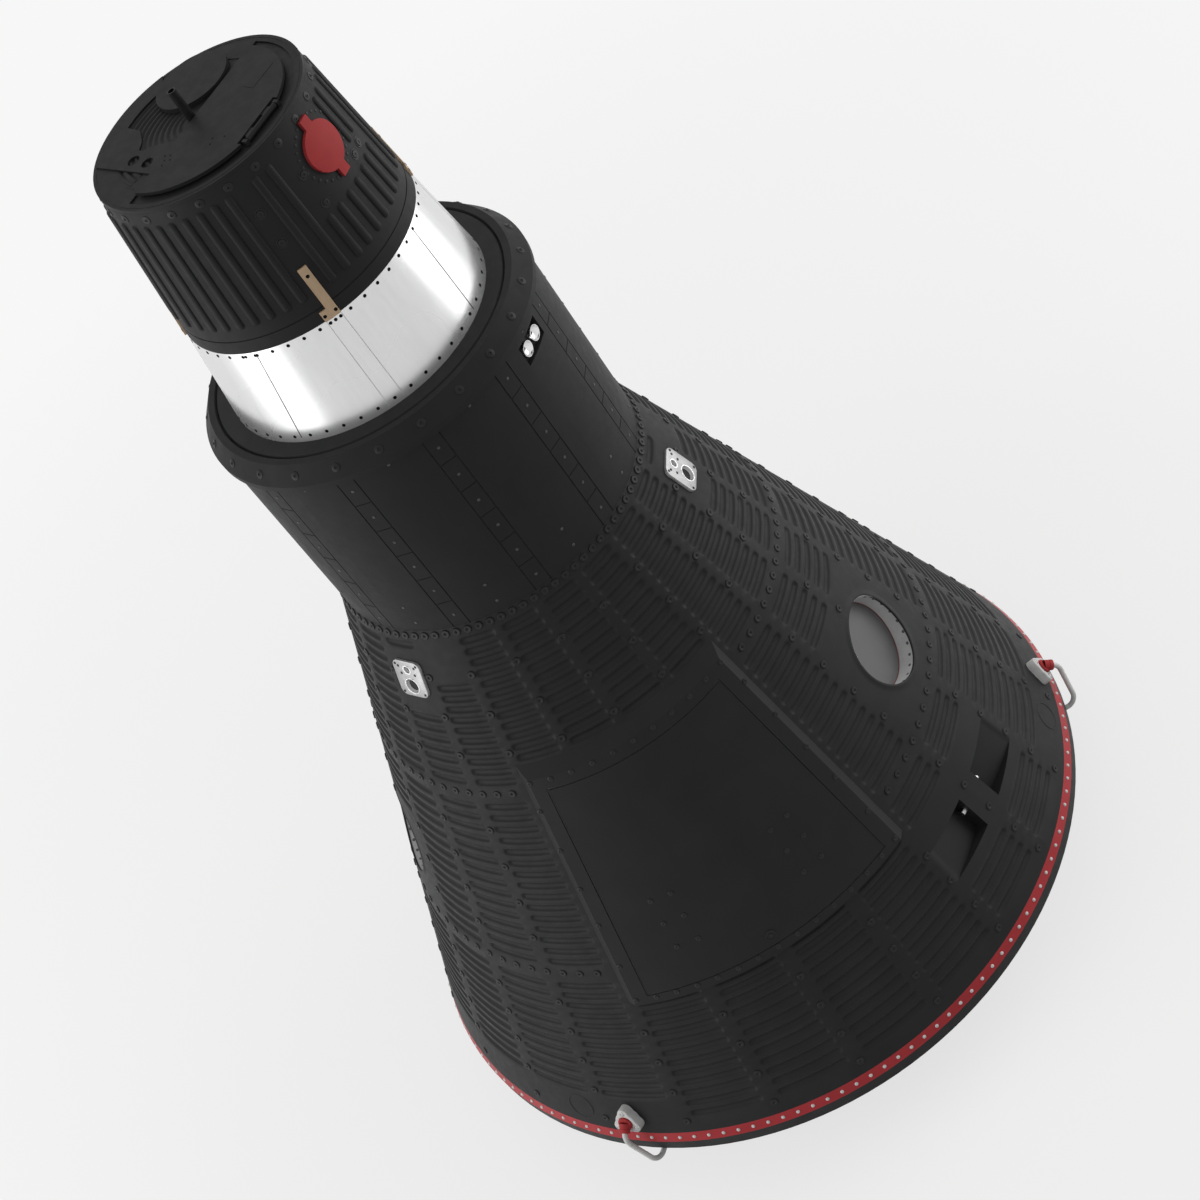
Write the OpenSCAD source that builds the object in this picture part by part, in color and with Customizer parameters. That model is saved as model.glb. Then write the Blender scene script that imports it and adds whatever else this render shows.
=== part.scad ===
// Crewed space capsule: a blunt heat shield, a conical cabin with a lift-off side hatch and
// two portholes, a cylindrical recovery section, a tower clamp flange, a bright band and an
// antenna section with a hinged half-disc flap on its top.
// +Z is up. The origin is on the axis, at the lowest point of the heat shield.
// Azimuths are measured about the axis from +X towards +Y, and the hatch faces -Y.

/* [Heat shield and rings] */
// Largest radius of the base
base_r = 946; // [900:1:1000]
// Radius of the heat shield's spherical face
shield_curve_r = 2032; // [1700:1:2600]
// Thickness of the heat shield
shield_t = 45; // [25:1:60]
// Height of the plain ring above the heat shield
shield_ring_h = 34; // [20:1:50]
// Height of the striped base ring
base_ring_h = 27.5; // [20:0.5:50]
// Width of the two rings, from outside to inside
ring_w = 78; // [70:1:90]

/* [Cone] */
// Step in from the base to the cone's foot
foot_step = 10.3; // [2:0.1:30]
// Height of the cone
cone_h = 1450; // [1400:1:1600]
// Wall thickness, measured level
wall_t = 60; // [50:1:66]
// Height of the lower band of shingles
lower_band_h = 494; // [400:1:540]
// Height of the middle band of shingles
middle_band_h = 517; // [440:1:600]

/* [Hatch] */
// Height of the hatch's lower edge above the cone's foot
hatch_lo = 426.5; // [420:0.5:460]
// Height of the hatch's upper edge above the cone's foot
hatch_hi = 1020; // [960:1:1060]
// Half the angle that the lower edge spans
hatch_lo_half = 26; // [20:0.1:27]
// Half the angle that the upper edge spans
hatch_hi_half = 25; // [20:0.1:26]
// Half the angle that the hatch frame spans
frame_half = 30.1; // [29:0.1:32]
// Width of the hatch frame at its upper edge
frame_top_w = 67; // [50:1:80]
// Width of the hatch frame at its lower edge
frame_foot_w = 24; // [15:1:30]
// Height of the frame and the hatch above the shingles
frame_rise = 22; // [5:1:26]
// Width of the bevel at the frame's sides and upper edge
frame_bevel_w = 27; // [15:1:30]
// Gap all round the hatch
hatch_gap = 5.5; // [5:0.5:8]
// Width of the lip that the hatch seats on
lip_w = 24; // [15:1:40]
// Thickness of that lip
lip_t = 12; // [8:1:18]

/* [Portholes] */
// Radius of a porthole's opening
window_r = 118; // [80:1:130]
// Height of a porthole's centre above the middle band's lower edge
window_rise = 163; // [150:1:200]
// Wall thickness of the porthole sleeve
window_sleeve_t = 5; // [3:0.5:8]
// Depth of the pane below the skin
window_depth = 50; // [30:1:50]
// Thickness of the pane
window_pane_t = 10; // [5:1:12]

/* [Thrusters] */
// Width of a thruster plate
jet_plate_w = 88; // [80:1:100]
// Height of a thruster plate
jet_plate_h = 100; // [90:1:120]
// Thickness of a thruster plate
jet_plate_t = 14; // [10:1:20]
// Distance of the thruster plates' centres below the cone's top
jet_plate_drop = 130; // [100:1:170]
// Length of a roll jet's scoop
scoop_l = 164; // [120:1:190]
// Height of a roll jet's scoop
scoop_w = 112; // [80:1:130]
// Depth of a roll jet's scoop
scoop_depth = 42; // [25:1:45]
// Height of the scoops above the cone's foot
scoop_z = 254; // [220:1:280]

/* [Recovery section and flange] */
// Outer radius of the recovery section
recovery_r = 411.5; // [380:0.5:440]
// Height of the recovery section
recovery_h = 521; // [480:1:600]
// Overhang of the clamp flange's lip past the recovery section
flange_overhang = 12.5; // [5:0.5:40]
// Height of the upright edge of the lip
flange_lip_h = 15; // [10:1:25]
// Width of the bevel between the lip and the flange's flat top
flange_bevel_w = 31.4; // [20:0.1:40]
// Height of the whole flange
flange_h = 55; // [45:1:70]

/* [Band and antenna section] */
// Width of the flange's flat top outside the bright band
flange_land_w = 63.6; // [40:0.1:80]
// Height of the bright band
band_h = 250; // [200:1:300]
// Amount that the bright band narrows by, on the radius
band_taper = 31.7; // [10:0.1:50]
// Height of the antenna section
antenna_h = 379; // [330:1:450]
// Amount that the antenna section narrows by, on the radius
antenna_taper = 41.3; // [20:0.1:60]
// Thickness of the deck on the top
deck_t = 8; // [6:1:14]

/* [Flap and top pieces] */
// Distance from the deck's edge to the flap's round edge
flap_margin = 42; // [38:1:60]
// Thickness of the flap
flap_t = 8; // [5:1:12]
// Gap between the flap and the deck below it
flap_gap = 5; // [5:0.5:10]
// Distance of the hinge line inside the flap's round edge
hinge_inset = 7; // [5:1:12]
// Length of the hinge knuckle
knuckle_l = 100; // [60:1:110]
// Radius of the hinge knuckle
knuckle_r = 6; // [5.5:0.1:8]
// Radius of the hinge pin
pin_r = 3; // [2:0.1:4]
// Height of the air data tube above the deck
tube_h = 78; // [50:1:150]
// Outer radius of the air data tube
tube_r = 10; // [6:0.5:11]

/* [Umbilicals] */
// Diameter of an umbilical cable
cable_d = 14; // [10:1:16]
// Radius of an umbilical plug
plug_r = 19; // [14:1:22]
// Thickness of an umbilical clamp
clamp_t = 26; // [15:1:28]

/* [Hidden] */
$fn = 96;

// clearance between curved faces that seat on each other
seat = 0.3;
// overlap that makes a union or a cut clean
eps = 1;

// radii of the sections
foot_r = base_r - foot_step;
flange_r = recovery_r + flange_overhang;
flange_top_r = flange_r - flange_bevel_w;
band_r = flange_top_r - flange_land_w;
antenna_r = band_r - band_taper;
antenna_top_r = antenna_r - antenna_taper;

// heights of the sections above the lowest point
rim_z = shield_curve_r - sqrt(pow(shield_curve_r, 2) - pow(base_r, 2));
stripe_z = rim_z + shield_ring_h;
foot_z = stripe_z + base_ring_h;
cone_top_z = foot_z + cone_h;
flange_z = cone_top_z + recovery_h;
band_z = flange_z + flange_h;
antenna_z = band_z + band_h;
deck_z = antenna_z + antenna_h;
top_z = deck_z + deck_t;

slope = (foot_r - recovery_r) / cone_h;
lean = atan(slope);
antenna_slope = (antenna_r - antenna_top_r) / antenna_h;
antenna_lean = atan(antenna_slope);

// heights of the portholes and the thruster plates above the cone's foot
window_h = lower_band_h + window_rise;
jet_plate_z = cone_h - jet_plate_drop;

function cone_r(h) = foot_r - slope * h;
function antenna_cone_r(h) = antenna_r - antenna_slope * h;

// azimuths of the things that stand round the axis
side_window_az = -29.7;
head_window_az = 180;
thruster_az = [-142.5, -22.5, 97.5];
scoop_pair_az = [-45, 135];
scoop_half_gap = 8.5;
yaw_jet_az = [-38.5, 141.5];
umbilical_az = [-130, -10, 110];
bracket_az = [-85.5, 4.5, 94.5, 184.5];
scanner_az = -42.5;
flap_az = -53.5;
round_cover_az = 80;

// colours
charcoal = [0.13, 0.13, 0.14];
dark = [0.05, 0.05, 0.055];
red = [0.62, 0.05, 0.06];
silver = [0.72, 0.72, 0.72];
white = [0.85, 0.85, 0.85];
tan_metal = [0.5, 0.4, 0.28];
cabin_grey = [0.35, 0.36, 0.36];

// ---- helpers -------------------------------------------------------------------------

// wedge of a whole circle between two azimuths less than 180 degrees apart
module sector(az0, az1, reach = 1100, tall = 4000) {
    mid = (az0 + az1) / 2;
    far = reach / cos((az1 - az0) / 2);
    linear_extrude(tall)
        polygon([[0, 0], reach * [cos(az0), sin(az0)], far * [cos(mid), sin(mid)],
                 reach * [cos(az1), sin(az1)]]);
}

// cone wall between two depths below the skin and two heights above the foot
module cone_shell(depth0, depth1, h0, h1) {
    rotate_extrude()
        polygon([[cone_r(h0) - depth1, foot_z + h0], [cone_r(h0) - depth0, foot_z + h0],
                 [cone_r(h1) - depth0, foot_z + h1], [cone_r(h1) - depth1, foot_z + h1]]);
}

// stands children on the cone: local Z leaves the skin, local Y runs up it
module on_cone(az, h) {
    rotate([0, 0, az + 90])
        translate([0, -cone_r(h), foot_z + h])
            rotate([90 - lean, 0, 0]) children();
}

// the same on the antenna section
module on_antenna(az, h) {
    rotate([0, 0, az + 90])
        translate([0, -antenna_cone_r(h), antenna_z + h])
            rotate([90 - antenna_lean, 0, 0]) children();
}

// the same on the recovery section, with h from its foot
module on_recovery(az, h) {
    rotate([0, 0, az + 90])
        translate([0, -recovery_r, cone_top_z + h])
            rotate([90, 0, 0]) children();
}

// a point of the front wall seen square on: [across, up the slope]
function front_point(a, h) =
    [cone_r(h) * sin(a), (foot_z + h) * cos(lean) - cone_r(h) * cos(a) * sin(lean)];

// outline on the front wall between two heights, with half the angle that it spans at each
function front_outline(lo, hi, lo_half, hi_half, steps = 8) =
    concat([for (i = [0:steps]) front_point(-lo_half + 2 * lo_half * i / steps, lo)],
           [for (i = [0:steps]) front_point(hi_half - 2 * hi_half * i / steps, hi)]);

// prism through the front wall along the hatch's lift-off direction
prism_from = 300;
prism_l = 1000;
module front_prism(lo, hi, lo_half, hi_half) {
    rotate([90 - lean, 0, 0])
        translate([0, 0, prism_from])
            linear_extrude(prism_l) polygon(front_outline(lo, hi, lo_half, hi_half));
}

// the hatch's outline grown by a margin all round
module hatch_prism(grow) {
    lo = hatch_lo - grow * cos(lean);
    hi = hatch_hi + grow * cos(lean);
    front_prism(lo, hi, hatch_lo_half + grow / cone_r(lo) * 180 / PI,
                hatch_hi_half + grow / cone_r(hi) * 180 / PI);
}

// the hatch frame's outline
frame_lo = hatch_lo - frame_foot_w * cos(lean);
frame_hi = hatch_hi + frame_top_w * cos(lean);
module frame_prism() {
    front_prism(frame_lo, frame_hi, frame_half, frame_half);
}

// ---- heat shield and rings -----------------------------------------------------------

// height of the shield's outer face at a radius, and radius of its inner face at the rim
function shield_face_z(r) = shield_curve_r - sqrt(pow(shield_curve_r, 2) - pow(r, 2));
inner_curve_r = shield_curve_r - shield_t;
bowl_r = sqrt(pow(inner_curve_r, 2) - pow(shield_curve_r - rim_z, 2));

// lowest part of a ball of radius r about the shield's centre, up to the plane z = rim_z
function ball_arc(r, reach, steps = 24) =
    [for (i = [0:steps]) let (a = asin(reach / r) * i / steps)
        [r * sin(a), shield_curve_r - r * cos(a)]];

module heat_shield() {
    inner = ball_arc(inner_curve_r, bowl_r);
    color(dark)
        rotate_extrude()
            polygon(concat(ball_arc(shield_curve_r, base_r),
                           [for (i = [len(inner) - 1:-1:0]) inner[i]]));
}

module shield_ring() {
    color(dark)
        translate([0, 0, rim_z])
            difference() {
                cylinder(h = shield_ring_h, r = base_r);
                translate([0, 0, -eps]) cylinder(h = shield_ring_h + 2 * eps, r = base_r - ring_w);
            }
}

// striped ring, with a ledge inside that carries the cabin floor
ledge_w = 30;
ledge_t = 12;
floor_clear = 2;
floor_r = base_r - ring_w - floor_clear;
module base_ring() {
    color(red)
        rotate_extrude()
            polygon([[floor_r - ledge_w, stripe_z], [base_r, stripe_z], [foot_r, foot_z],
                     [base_r - ring_w, foot_z], [base_r - ring_w, stripe_z + ledge_t],
                     [floor_r - ledge_w, stripe_z + ledge_t]]);
}

// ---- cone walls ----------------------------------------------------------------------

// bands from the foot up: [height of the lower edge, height of the upper edge]
bands = [[0, lower_band_h],
         [lower_band_h, lower_band_h + middle_band_h],
         [lower_band_h + middle_band_h, cone_h]];
// azimuth where each side's quarter starts: front, right, rear, left
side_az = [-135, -45, 45, 135];

// how far a window's cut runs inside and outside the skin
cut_in = 150;
cut_out = 60;

// window, with its sleeve, cut square to the skin
module window_cut(az, r, from, to) {
    on_cone(az, window_h) translate([0, 0, from]) cylinder(h = to - from, r = r);
}

// pocket that a thruster plate sits in
plate_sink = 8;
module plate_pocket(az) {
    on_cone(az, jet_plate_z)
        translate([-jet_plate_w / 2 - seat, -jet_plate_h / 2 - seat, -plate_sink])
            cube([jet_plate_w + 2 * seat, jet_plate_h + 2 * seat, cut_out]);
}

// ramp of a roll jet: deep at its +X end, running out at its -X end
scoop_shallow = 4;
scoop_open = 30;
module scoop_ramp() {
    rotate([90, 0, 0])
        linear_extrude(scoop_w, center = true)
            polygon([[-scoop_l / 2, -scoop_shallow], [scoop_l / 2, -scoop_depth],
                     [scoop_l / 2, scoop_open], [-scoop_l / 2, scoop_open]]);
}

// each pair of scoops is back to back: the deep ends face each other
module scoop_pair(az) {
    on_cone(az - scoop_half_gap, scoop_z) scoop_ramp();
    on_cone(az + scoop_half_gap, scoop_z) mirror([1, 0, 0]) scoop_ramp();
}

module wall_panel(band, side) {
    color(charcoal)
        difference() {
            intersection() {
                cone_shell(0, wall_t, bands[band][0], bands[band][1]);
                sector(side_az[side], side_az[side] + 90);
            }
            if (side == 0) frame_prism();
            if (band == 1 && side == 1)
                window_cut(side_window_az, window_r + window_sleeve_t + seat, -cut_in, cut_out);
            if (band == 1 && side == 3)
                window_cut(head_window_az, window_r + window_sleeve_t + seat, -cut_in, cut_out);
            if (band == 2 && side == 0) plate_pocket(thruster_az[0]);
            if (band == 2 && side == 3) plate_pocket(thruster_az[0]);
            if (band == 2 && side == 1) plate_pocket(thruster_az[1]);
            if (band == 2 && side == 2) plate_pocket(thruster_az[2]);
            if (band == 0 && side == 0) scoop_pair(scoop_pair_az[0]);
            if (band == 0 && side == 1) scoop_pair(scoop_pair_az[0]);
            if (band == 0 && side == 2) scoop_pair(scoop_pair_az[1]);
            if (band == 0 && side == 3) scoop_pair(scoop_pair_az[1]);
        }
}

module lower_front_wall() { wall_panel(0, 0); }
module lower_right_wall() { wall_panel(0, 1); }
module lower_rear_wall() { wall_panel(0, 2); }
module lower_left_wall() { wall_panel(0, 3); }
module middle_front_wall() { wall_panel(1, 0); }
module middle_right_wall() { wall_panel(1, 1); }
module middle_rear_wall() { wall_panel(1, 2); }
module middle_left_wall() { wall_panel(1, 3); }
module upper_front_wall() { wall_panel(2, 0); }
module upper_right_wall() { wall_panel(2, 1); }
module upper_rear_wall() { wall_panel(2, 2); }
module upper_left_wall() { wall_panel(2, 3); }

// ---- hatch ---------------------------------------------------------------------------

// rise of the frame and its bevel, measured level and upright
frame_rise_level = frame_rise / cos(lean);
frame_bevel_h = frame_bevel_w * cos(lean);
bevel_angle = atan(frame_rise / frame_bevel_w);

// wall with the raised frame outside it, bevelled down to the skin at its upper edge
module frame_shell() {
    top_h = frame_hi - frame_bevel_h;
    rotate_extrude()
        polygon([[cone_r(0) - wall_t, foot_z], [cone_r(0) + frame_rise_level, foot_z],
                 [cone_r(top_h) + frame_rise_level, foot_z + top_h],
                 [cone_r(frame_hi), foot_z + frame_hi],
                 [cone_r(frame_hi) - wall_t, foot_z + frame_hi]]);
}

// what the bevel takes off along one side of the frame
bevel_cut = [400, 1400, 200];
module side_bevel(side) {
    on_cone(-90 + side * frame_half, (frame_lo + frame_hi) / 2)
        rotate([0, side * bevel_angle, 0])
            translate([-bevel_cut[0] / 2, -bevel_cut[1] / 2, 0]) cube(bevel_cut);
}

module hatch_frame() {
    color(charcoal)
        union() {
            difference() {
                intersection() {
                    frame_shell();
                    frame_prism();
                }
                hatch_prism(0);
                side_bevel(-1);
                side_bevel(1);
            }
            difference() {
                intersection() {
                    cone_shell(wall_t - lip_t, wall_t, 0, cone_h);
                    hatch_prism(eps);
                }
                hatch_prism(-lip_w);
            }
        }
}

module hatch() {
    color(charcoal)
        intersection() {
            cone_shell(-frame_rise_level, wall_t - lip_t - seat, 0, cone_h);
            hatch_prism(-hatch_gap);
        }
}

// ---- portholes -----------------------------------------------------------------------

// sleeve whose outer end follows the skin, with a ledge that the pane lies on
window_ledge_w = 10;
window_ledge_t = 6;
pane_foot = -window_depth - window_pane_t;
module window_frame(az) {
    color(silver)
        intersection() {
            difference() {
                window_cut(az, window_r + window_sleeve_t, pane_foot - window_ledge_t, cut_out);
                window_cut(az, window_r, -window_depth, cut_out);
                window_cut(az, window_r - window_ledge_w, -cut_in, cut_out);
                window_cut(az, window_r + seat, pane_foot, -window_depth + eps);
            }
            translate([0, 0, foot_z]) cylinder(h = cone_h, r1 = foot_r, r2 = recovery_r);
        }
}

module window_pane(az) {
    color([0.5, 0.5, 0.5, 0.6])
        window_cut(az, window_r, pane_foot, -window_depth);
}

module side_window_frame() { window_frame(side_window_az); }
module side_window_pane() { window_pane(side_window_az); }
module head_window_frame() { window_frame(head_window_az); }
module head_window_pane() { window_pane(head_window_az); }

// ---- thrusters -----------------------------------------------------------------------

// each plate has one large and one small nozzle mouth
nozzle_big_r = 17;
nozzle_big_y = -20;
nozzle_small_r = 9;
nozzle_small_y = 26;
nozzle_floor = 4;
module thruster_plates() {
    color(silver)
        for (az = thruster_az)
            on_cone(az, jet_plate_z)
                difference() {
                    translate([-jet_plate_w / 2, -jet_plate_h / 2, -plate_sink])
                        cube([jet_plate_w, jet_plate_h, jet_plate_t]);
                    translate([0, nozzle_big_y, nozzle_floor - plate_sink])
                        cylinder(h = jet_plate_t, r = nozzle_big_r);
                    translate([0, nozzle_small_y, nozzle_floor - plate_sink])
                        cylinder(h = jet_plate_t, r = nozzle_small_r);
                }
}

// nozzles that stand out of each scoop's deep end
roll_nozzle_r = 9;
roll_nozzle_l = 16;
roll_nozzle_y = 14;
roll_nozzle_depth = scoop_depth / 2 + 4;
module roll_nozzle() {
    translate([scoop_l / 2 - roll_nozzle_l, roll_nozzle_y, -roll_nozzle_depth])
        rotate([0, 90, 0]) cylinder(h = roll_nozzle_l, r = roll_nozzle_r);
}
module roll_jets() {
    color(silver)
        for (az = scoop_pair_az) {
            on_cone(az - scoop_half_gap, scoop_z) roll_nozzle();
            on_cone(az + scoop_half_gap, scoop_z) mirror([1, 0, 0]) roll_nozzle();
        }
}

// ---- cabin ---------------------------------------------------------------------------

floor_t = 30;
floor_z = stripe_z + ledge_t;
floor_top_z = floor_z + floor_t;
// gap between a disc and the wall round it
disc_clear = 0.8;
// radius inside the wall at a height above the lowest point
function cabin_r(z) = cone_r(z - foot_z) - wall_t;
module cabin_floor() {
    color(cabin_grey)
        translate([0, 0, floor_z])
            cylinder(h = floor_t, r = min(floor_r, cabin_r(floor_top_z) - disc_clear));
}

bulkhead_t = 30;
bulkhead_r = cabin_r(cone_top_z) - disc_clear;
bulkhead_z = cone_top_z - bulkhead_t;
module forward_bulkhead() {
    color(cabin_grey)
        translate([0, 0, bulkhead_z]) cylinder(h = bulkhead_t, r = bulkhead_r);
}

// couch seen from its side: [along X, height], head at -X, knees raised at +X
couch_w = 520;
couch_z = floor_top_z + 110;
couch_t = 50;
couch_line = [[-440, 50], [-330, 0], [60, 0], [260, 250], [330, 260], [470, 120]];
module couch() {
    under = [for (p = couch_line) [p[0], couch_z + p[1]]];
    over = [for (i = [len(couch_line) - 1:-1:0]) [couch_line[i][0], couch_z + couch_line[i][1] + couch_t]];
    color(cabin_grey)
        rotate([90, 0, 0])
            linear_extrude(couch_w, center = true) polygon(concat(under, over));
}

// two rails under the back of the couch, on four legs
rail_from = -330;
rail_l = 390;
rail_y = 200;
rail_w = 40;
rail_t = 30;
leg_x = [-300, 20];
module couch_frame() {
    color(silver)
        for (side = [-1, 1]) {
            translate([rail_from, side * rail_y - rail_w / 2, couch_z - rail_t])
                cube([rail_l, rail_w, rail_t]);
            for (x = leg_x)
                translate([x - rail_w / 2, side * rail_y - rail_w / 2, floor_top_z])
                    cube([rail_w, rail_w, couch_z - floor_top_z]);
        }
}

// panel hung over the couch on four rods from the forward bulkhead
panel_size = [460, 620, 40];
panel_x = 100;
panel_z = foot_z + 800;
panel_tilt = -20;
rod_r = 12;
rod_x = [-20, 190];
rod_y = 160;
rod_start_z = panel_z - 80;
trim_w = 700;
trim_t = 200;
module instrument_panel() {
    color(cabin_grey) {
        difference() {
            union() {
                translate([panel_x, 0, panel_z])
                    rotate([0, panel_tilt, 0]) cube(panel_size, center = true);
                for (x = rod_x)
                    for (side = [-1, 1])
                        translate([x, side * rod_y, rod_start_z])
                            cylinder(h = bulkhead_z - rod_start_z, r = rod_r);
            }
            translate([panel_x, 0, panel_z])
                rotate([0, panel_tilt, 0])
                    translate([0, 0, -(panel_size[2] + trim_t) / 2])
                        cube([trim_w, trim_w, trim_t], center = true);
        }
    }
}

// racks beside the couch, whose upper outer corners stay clear of the wall
rack_l = 500;
rack_h = 290;
rack_near = 420;
rack_corner_gap = 84.5;
rack_corner_r = cabin_r(floor_top_z + rack_h) - rack_corner_gap;
rack_far = sqrt(pow(rack_corner_r, 2) - pow(rack_l / 2, 2));
module equipment_racks() {
    color(cabin_grey)
        for (side = [0, 1])
            mirror([0, side, 0])
                translate([-rack_l / 2, rack_near, floor_top_z])
                    cube([rack_l, rack_far - rack_near, rack_h]);
}

// a stalk and a grip on each rack
grip_x = 150;
grip_y = rack_near + 30;
stalk_h = 80;
stalk_r = 10;
grip_h = 90;
grip_r = 18;
module hand_controllers() {
    color(dark)
        for (side = [-1, 1])
            translate([grip_x, side * grip_y, floor_top_z + rack_h]) {
                cylinder(h = stalk_h, r = stalk_r);
                translate([0, 0, stalk_h]) cylinder(h = grip_h, r = grip_r);
            }
}

// ---- recovery section ----------------------------------------------------------------

// pocket of a pair of jets, near the top of the recovery section
yaw_jet_h = recovery_h - 52;
yaw_jet_gap = 47;
yaw_jet_r = 19;
yaw_jet_wall = 3;
yaw_pocket = [100, 54, 14];
module recovery_section() {
    color(charcoal)
        difference() {
            translate([0, 0, cone_top_z]) cylinder(h = recovery_h, r = recovery_r);
            for (az = yaw_jet_az)
                on_recovery(az, yaw_jet_h)
                    translate([-yaw_pocket[0] / 2, -yaw_pocket[1] / 2, -yaw_pocket[2]])
                        cube([yaw_pocket[0], yaw_pocket[1], cut_out]);
        }
}

module yaw_jets() {
    color(silver)
        for (az = yaw_jet_az)
            for (side = [-1, 1])
                on_recovery(az, yaw_jet_h)
                    translate([side * yaw_jet_gap / 2, 0, -yaw_pocket[2]])
                        difference() {
                            cylinder(h = yaw_pocket[2] - yaw_jet_wall, r = yaw_jet_r);
                            translate([0, 0, yaw_jet_wall])
                                cylinder(h = yaw_pocket[2], r = yaw_jet_r - yaw_jet_wall);
                        }
}

// flange: an upright lip, a bevel, a flat top and one groove in it
groove_inset = 20.6;
groove_r = flange_top_r - groove_inset;
groove_w = 8;
groove_d = 6;
module clamp_flange() {
    color(charcoal)
        rotate_extrude()
            polygon([[0, flange_z], [flange_r, flange_z], [flange_r, flange_z + flange_lip_h],
                     [flange_top_r, band_z], [groove_r + groove_w / 2, band_z],
                     [groove_r, band_z - groove_d], [groove_r - groove_w / 2, band_z],
                     [0, band_z]]);
}

// ---- band and antenna section --------------------------------------------------------

module bright_band() {
    color(white)
        translate([0, 0, band_z]) cylinder(h = band_h, r1 = band_r, r2 = antenna_r);
}

module antenna_section() {
    color(charcoal)
        translate([0, 0, antenna_z]) cylinder(h = antenna_h, r1 = antenna_r, r2 = antenna_top_r);
}

// skin-following sheet of a thickness, standing just off the antenna section
module antenna_sheet(t) {
    difference() {
        translate([0, 0, antenna_z]) cylinder(h = antenna_h, r1 = antenna_r + t, r2 = antenna_top_r + t);
        translate([0, 0, antenna_z - eps])
            cylinder(h = antenna_h + 2 * eps, r1 = antenna_r + eps * antenna_slope + seat,
                     r2 = antenna_top_r - eps * antenna_slope + seat);
    }
}

// round cover over the scanner, with a tab above and one below
scanner_h = antenna_h - 101;
scanner_r = 55;
scanner_tab_w = 27;
scanner_tab_h = 76;
scanner_t = 8;
sheet_reach = 60;
module scanner_cover() {
    color(red)
        intersection() {
            antenna_sheet(scanner_t);
            on_antenna(scanner_az, scanner_h)
                translate([0, 0, -sheet_reach])
                    union() {
                        cylinder(h = 2 * sheet_reach, r = scanner_r);
                        translate([-scanner_tab_w / 2, -scanner_tab_h, 0])
                            cube([scanner_tab_w, 2 * scanner_tab_h, 2 * sheet_reach]);
                    }
        }
}

// L-shaped straps: a foot on the band's upper edge and an upright on the antenna section
strap_w = 22;
strap_h = 132;
strap_foot_w = 39;
strap_foot_h = 26;
strap_t = 5;
module antenna_brackets() {
    color(tan_metal)
        for (az = bracket_az)
            intersection() {
                antenna_sheet(strap_t);
                on_antenna(az, 0)
                    translate([0, 0, -sheet_reach])
                        union() {
                            translate([-strap_w / 2, 0, 0])
                                cube([strap_w, strap_h, 2 * sheet_reach]);
                            translate([strap_w / 2 - strap_foot_w, 0, 0])
                                cube([strap_foot_w, strap_foot_h, 2 * sheet_reach]);
                        }
            }
}

// ---- top -----------------------------------------------------------------------------

// the flap's pocket covers the side of the deck that flap_az points to
pocket_rim_w = 20;
pocket_depth = 4;
pocket_edge = -10;
// concentric ridges in a sector of the deck
ridge_first_r = 45;
ridge_pitch = 20;
ridge_w = 8;
ridge_rise = 4;
ridge_window = [100, 203];
ridge_depth = 7;
ridge_reach = antenna_top_r - 61;
ridge_clear_r = 35;
top_cut = 20;
port_r = 14.5;
port_pos = [[-155, 3], [-129, -38]];
module top_deck() {
    color(charcoal)
        union() {
            difference() {
                translate([0, 0, deck_z]) cylinder(h = deck_t, r = antenna_top_r);
                translate([0, 0, top_z - pocket_depth])
                    intersection() {
                        cylinder(h = top_cut, r = antenna_top_r - pocket_rim_w);
                        rotate([0, 0, flap_az])
                            translate([pocket_edge, -antenna_top_r, 0])
                                cube([2 * antenna_top_r, 2 * antenna_top_r, top_cut]);
                    }
                intersection() {
                    translate([0, 0, top_z - ridge_depth])
                        difference() {
                            cylinder(h = top_cut, r = ridge_reach);
                            translate([0, 0, -eps]) cylinder(h = 2 * top_cut, r = ridge_clear_r);
                        }
                    sector(ridge_window[0], ridge_window[1], antenna_top_r);
                }
                for (p = port_pos)
                    translate([p[0], p[1], top_z - ridge_depth]) cylinder(h = top_cut, r = port_r);
            }
            intersection() {
                translate([0, 0, top_z - ridge_depth - eps])
                    for (r = [ridge_first_r:ridge_pitch:ridge_reach - ridge_pitch / 2])
                        difference() {
                            cylinder(h = ridge_rise + eps, r = r + ridge_w / 2);
                            translate([0, 0, -eps]) cylinder(h = top_cut, r = r - ridge_w / 2);
                        }
                sector(ridge_window[0], ridge_window[1], antenna_top_r);
            }
        }
}

flap_r = antenna_top_r - flap_margin;
hinge_offset = flap_r - hinge_inset;
flap_z = top_z - pocket_depth + flap_gap;
hinge_z = flap_z + 3;
lug_t = 8;
lug_w = 14;
lug_rise = 5;
lug_gap = 2;
pin_clear = 0.05;
cutout_half = knuckle_l / 2 + lug_t + lug_gap + 6;
// two lugs on the deck, and the pin between them
module flap_hinge() {
    color(charcoal)
        rotate([0, 0, flap_az])
            union() {
                for (side = [-1, 1])
                    translate([hinge_offset, side * (knuckle_l / 2 + lug_gap + lug_t / 2),
                               top_z - pocket_depth])
                        translate([-lug_w / 2, -lug_t / 2, 0])
                            cube([lug_w, lug_t, hinge_z + lug_rise - top_z + pocket_depth]);
                translate([hinge_offset, 0, hinge_z])
                    rotate([90, 0, 0])
                        cylinder(h = knuckle_l + 2 * lug_gap + lug_t, r = pin_r, center = true);
            }
}

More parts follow.
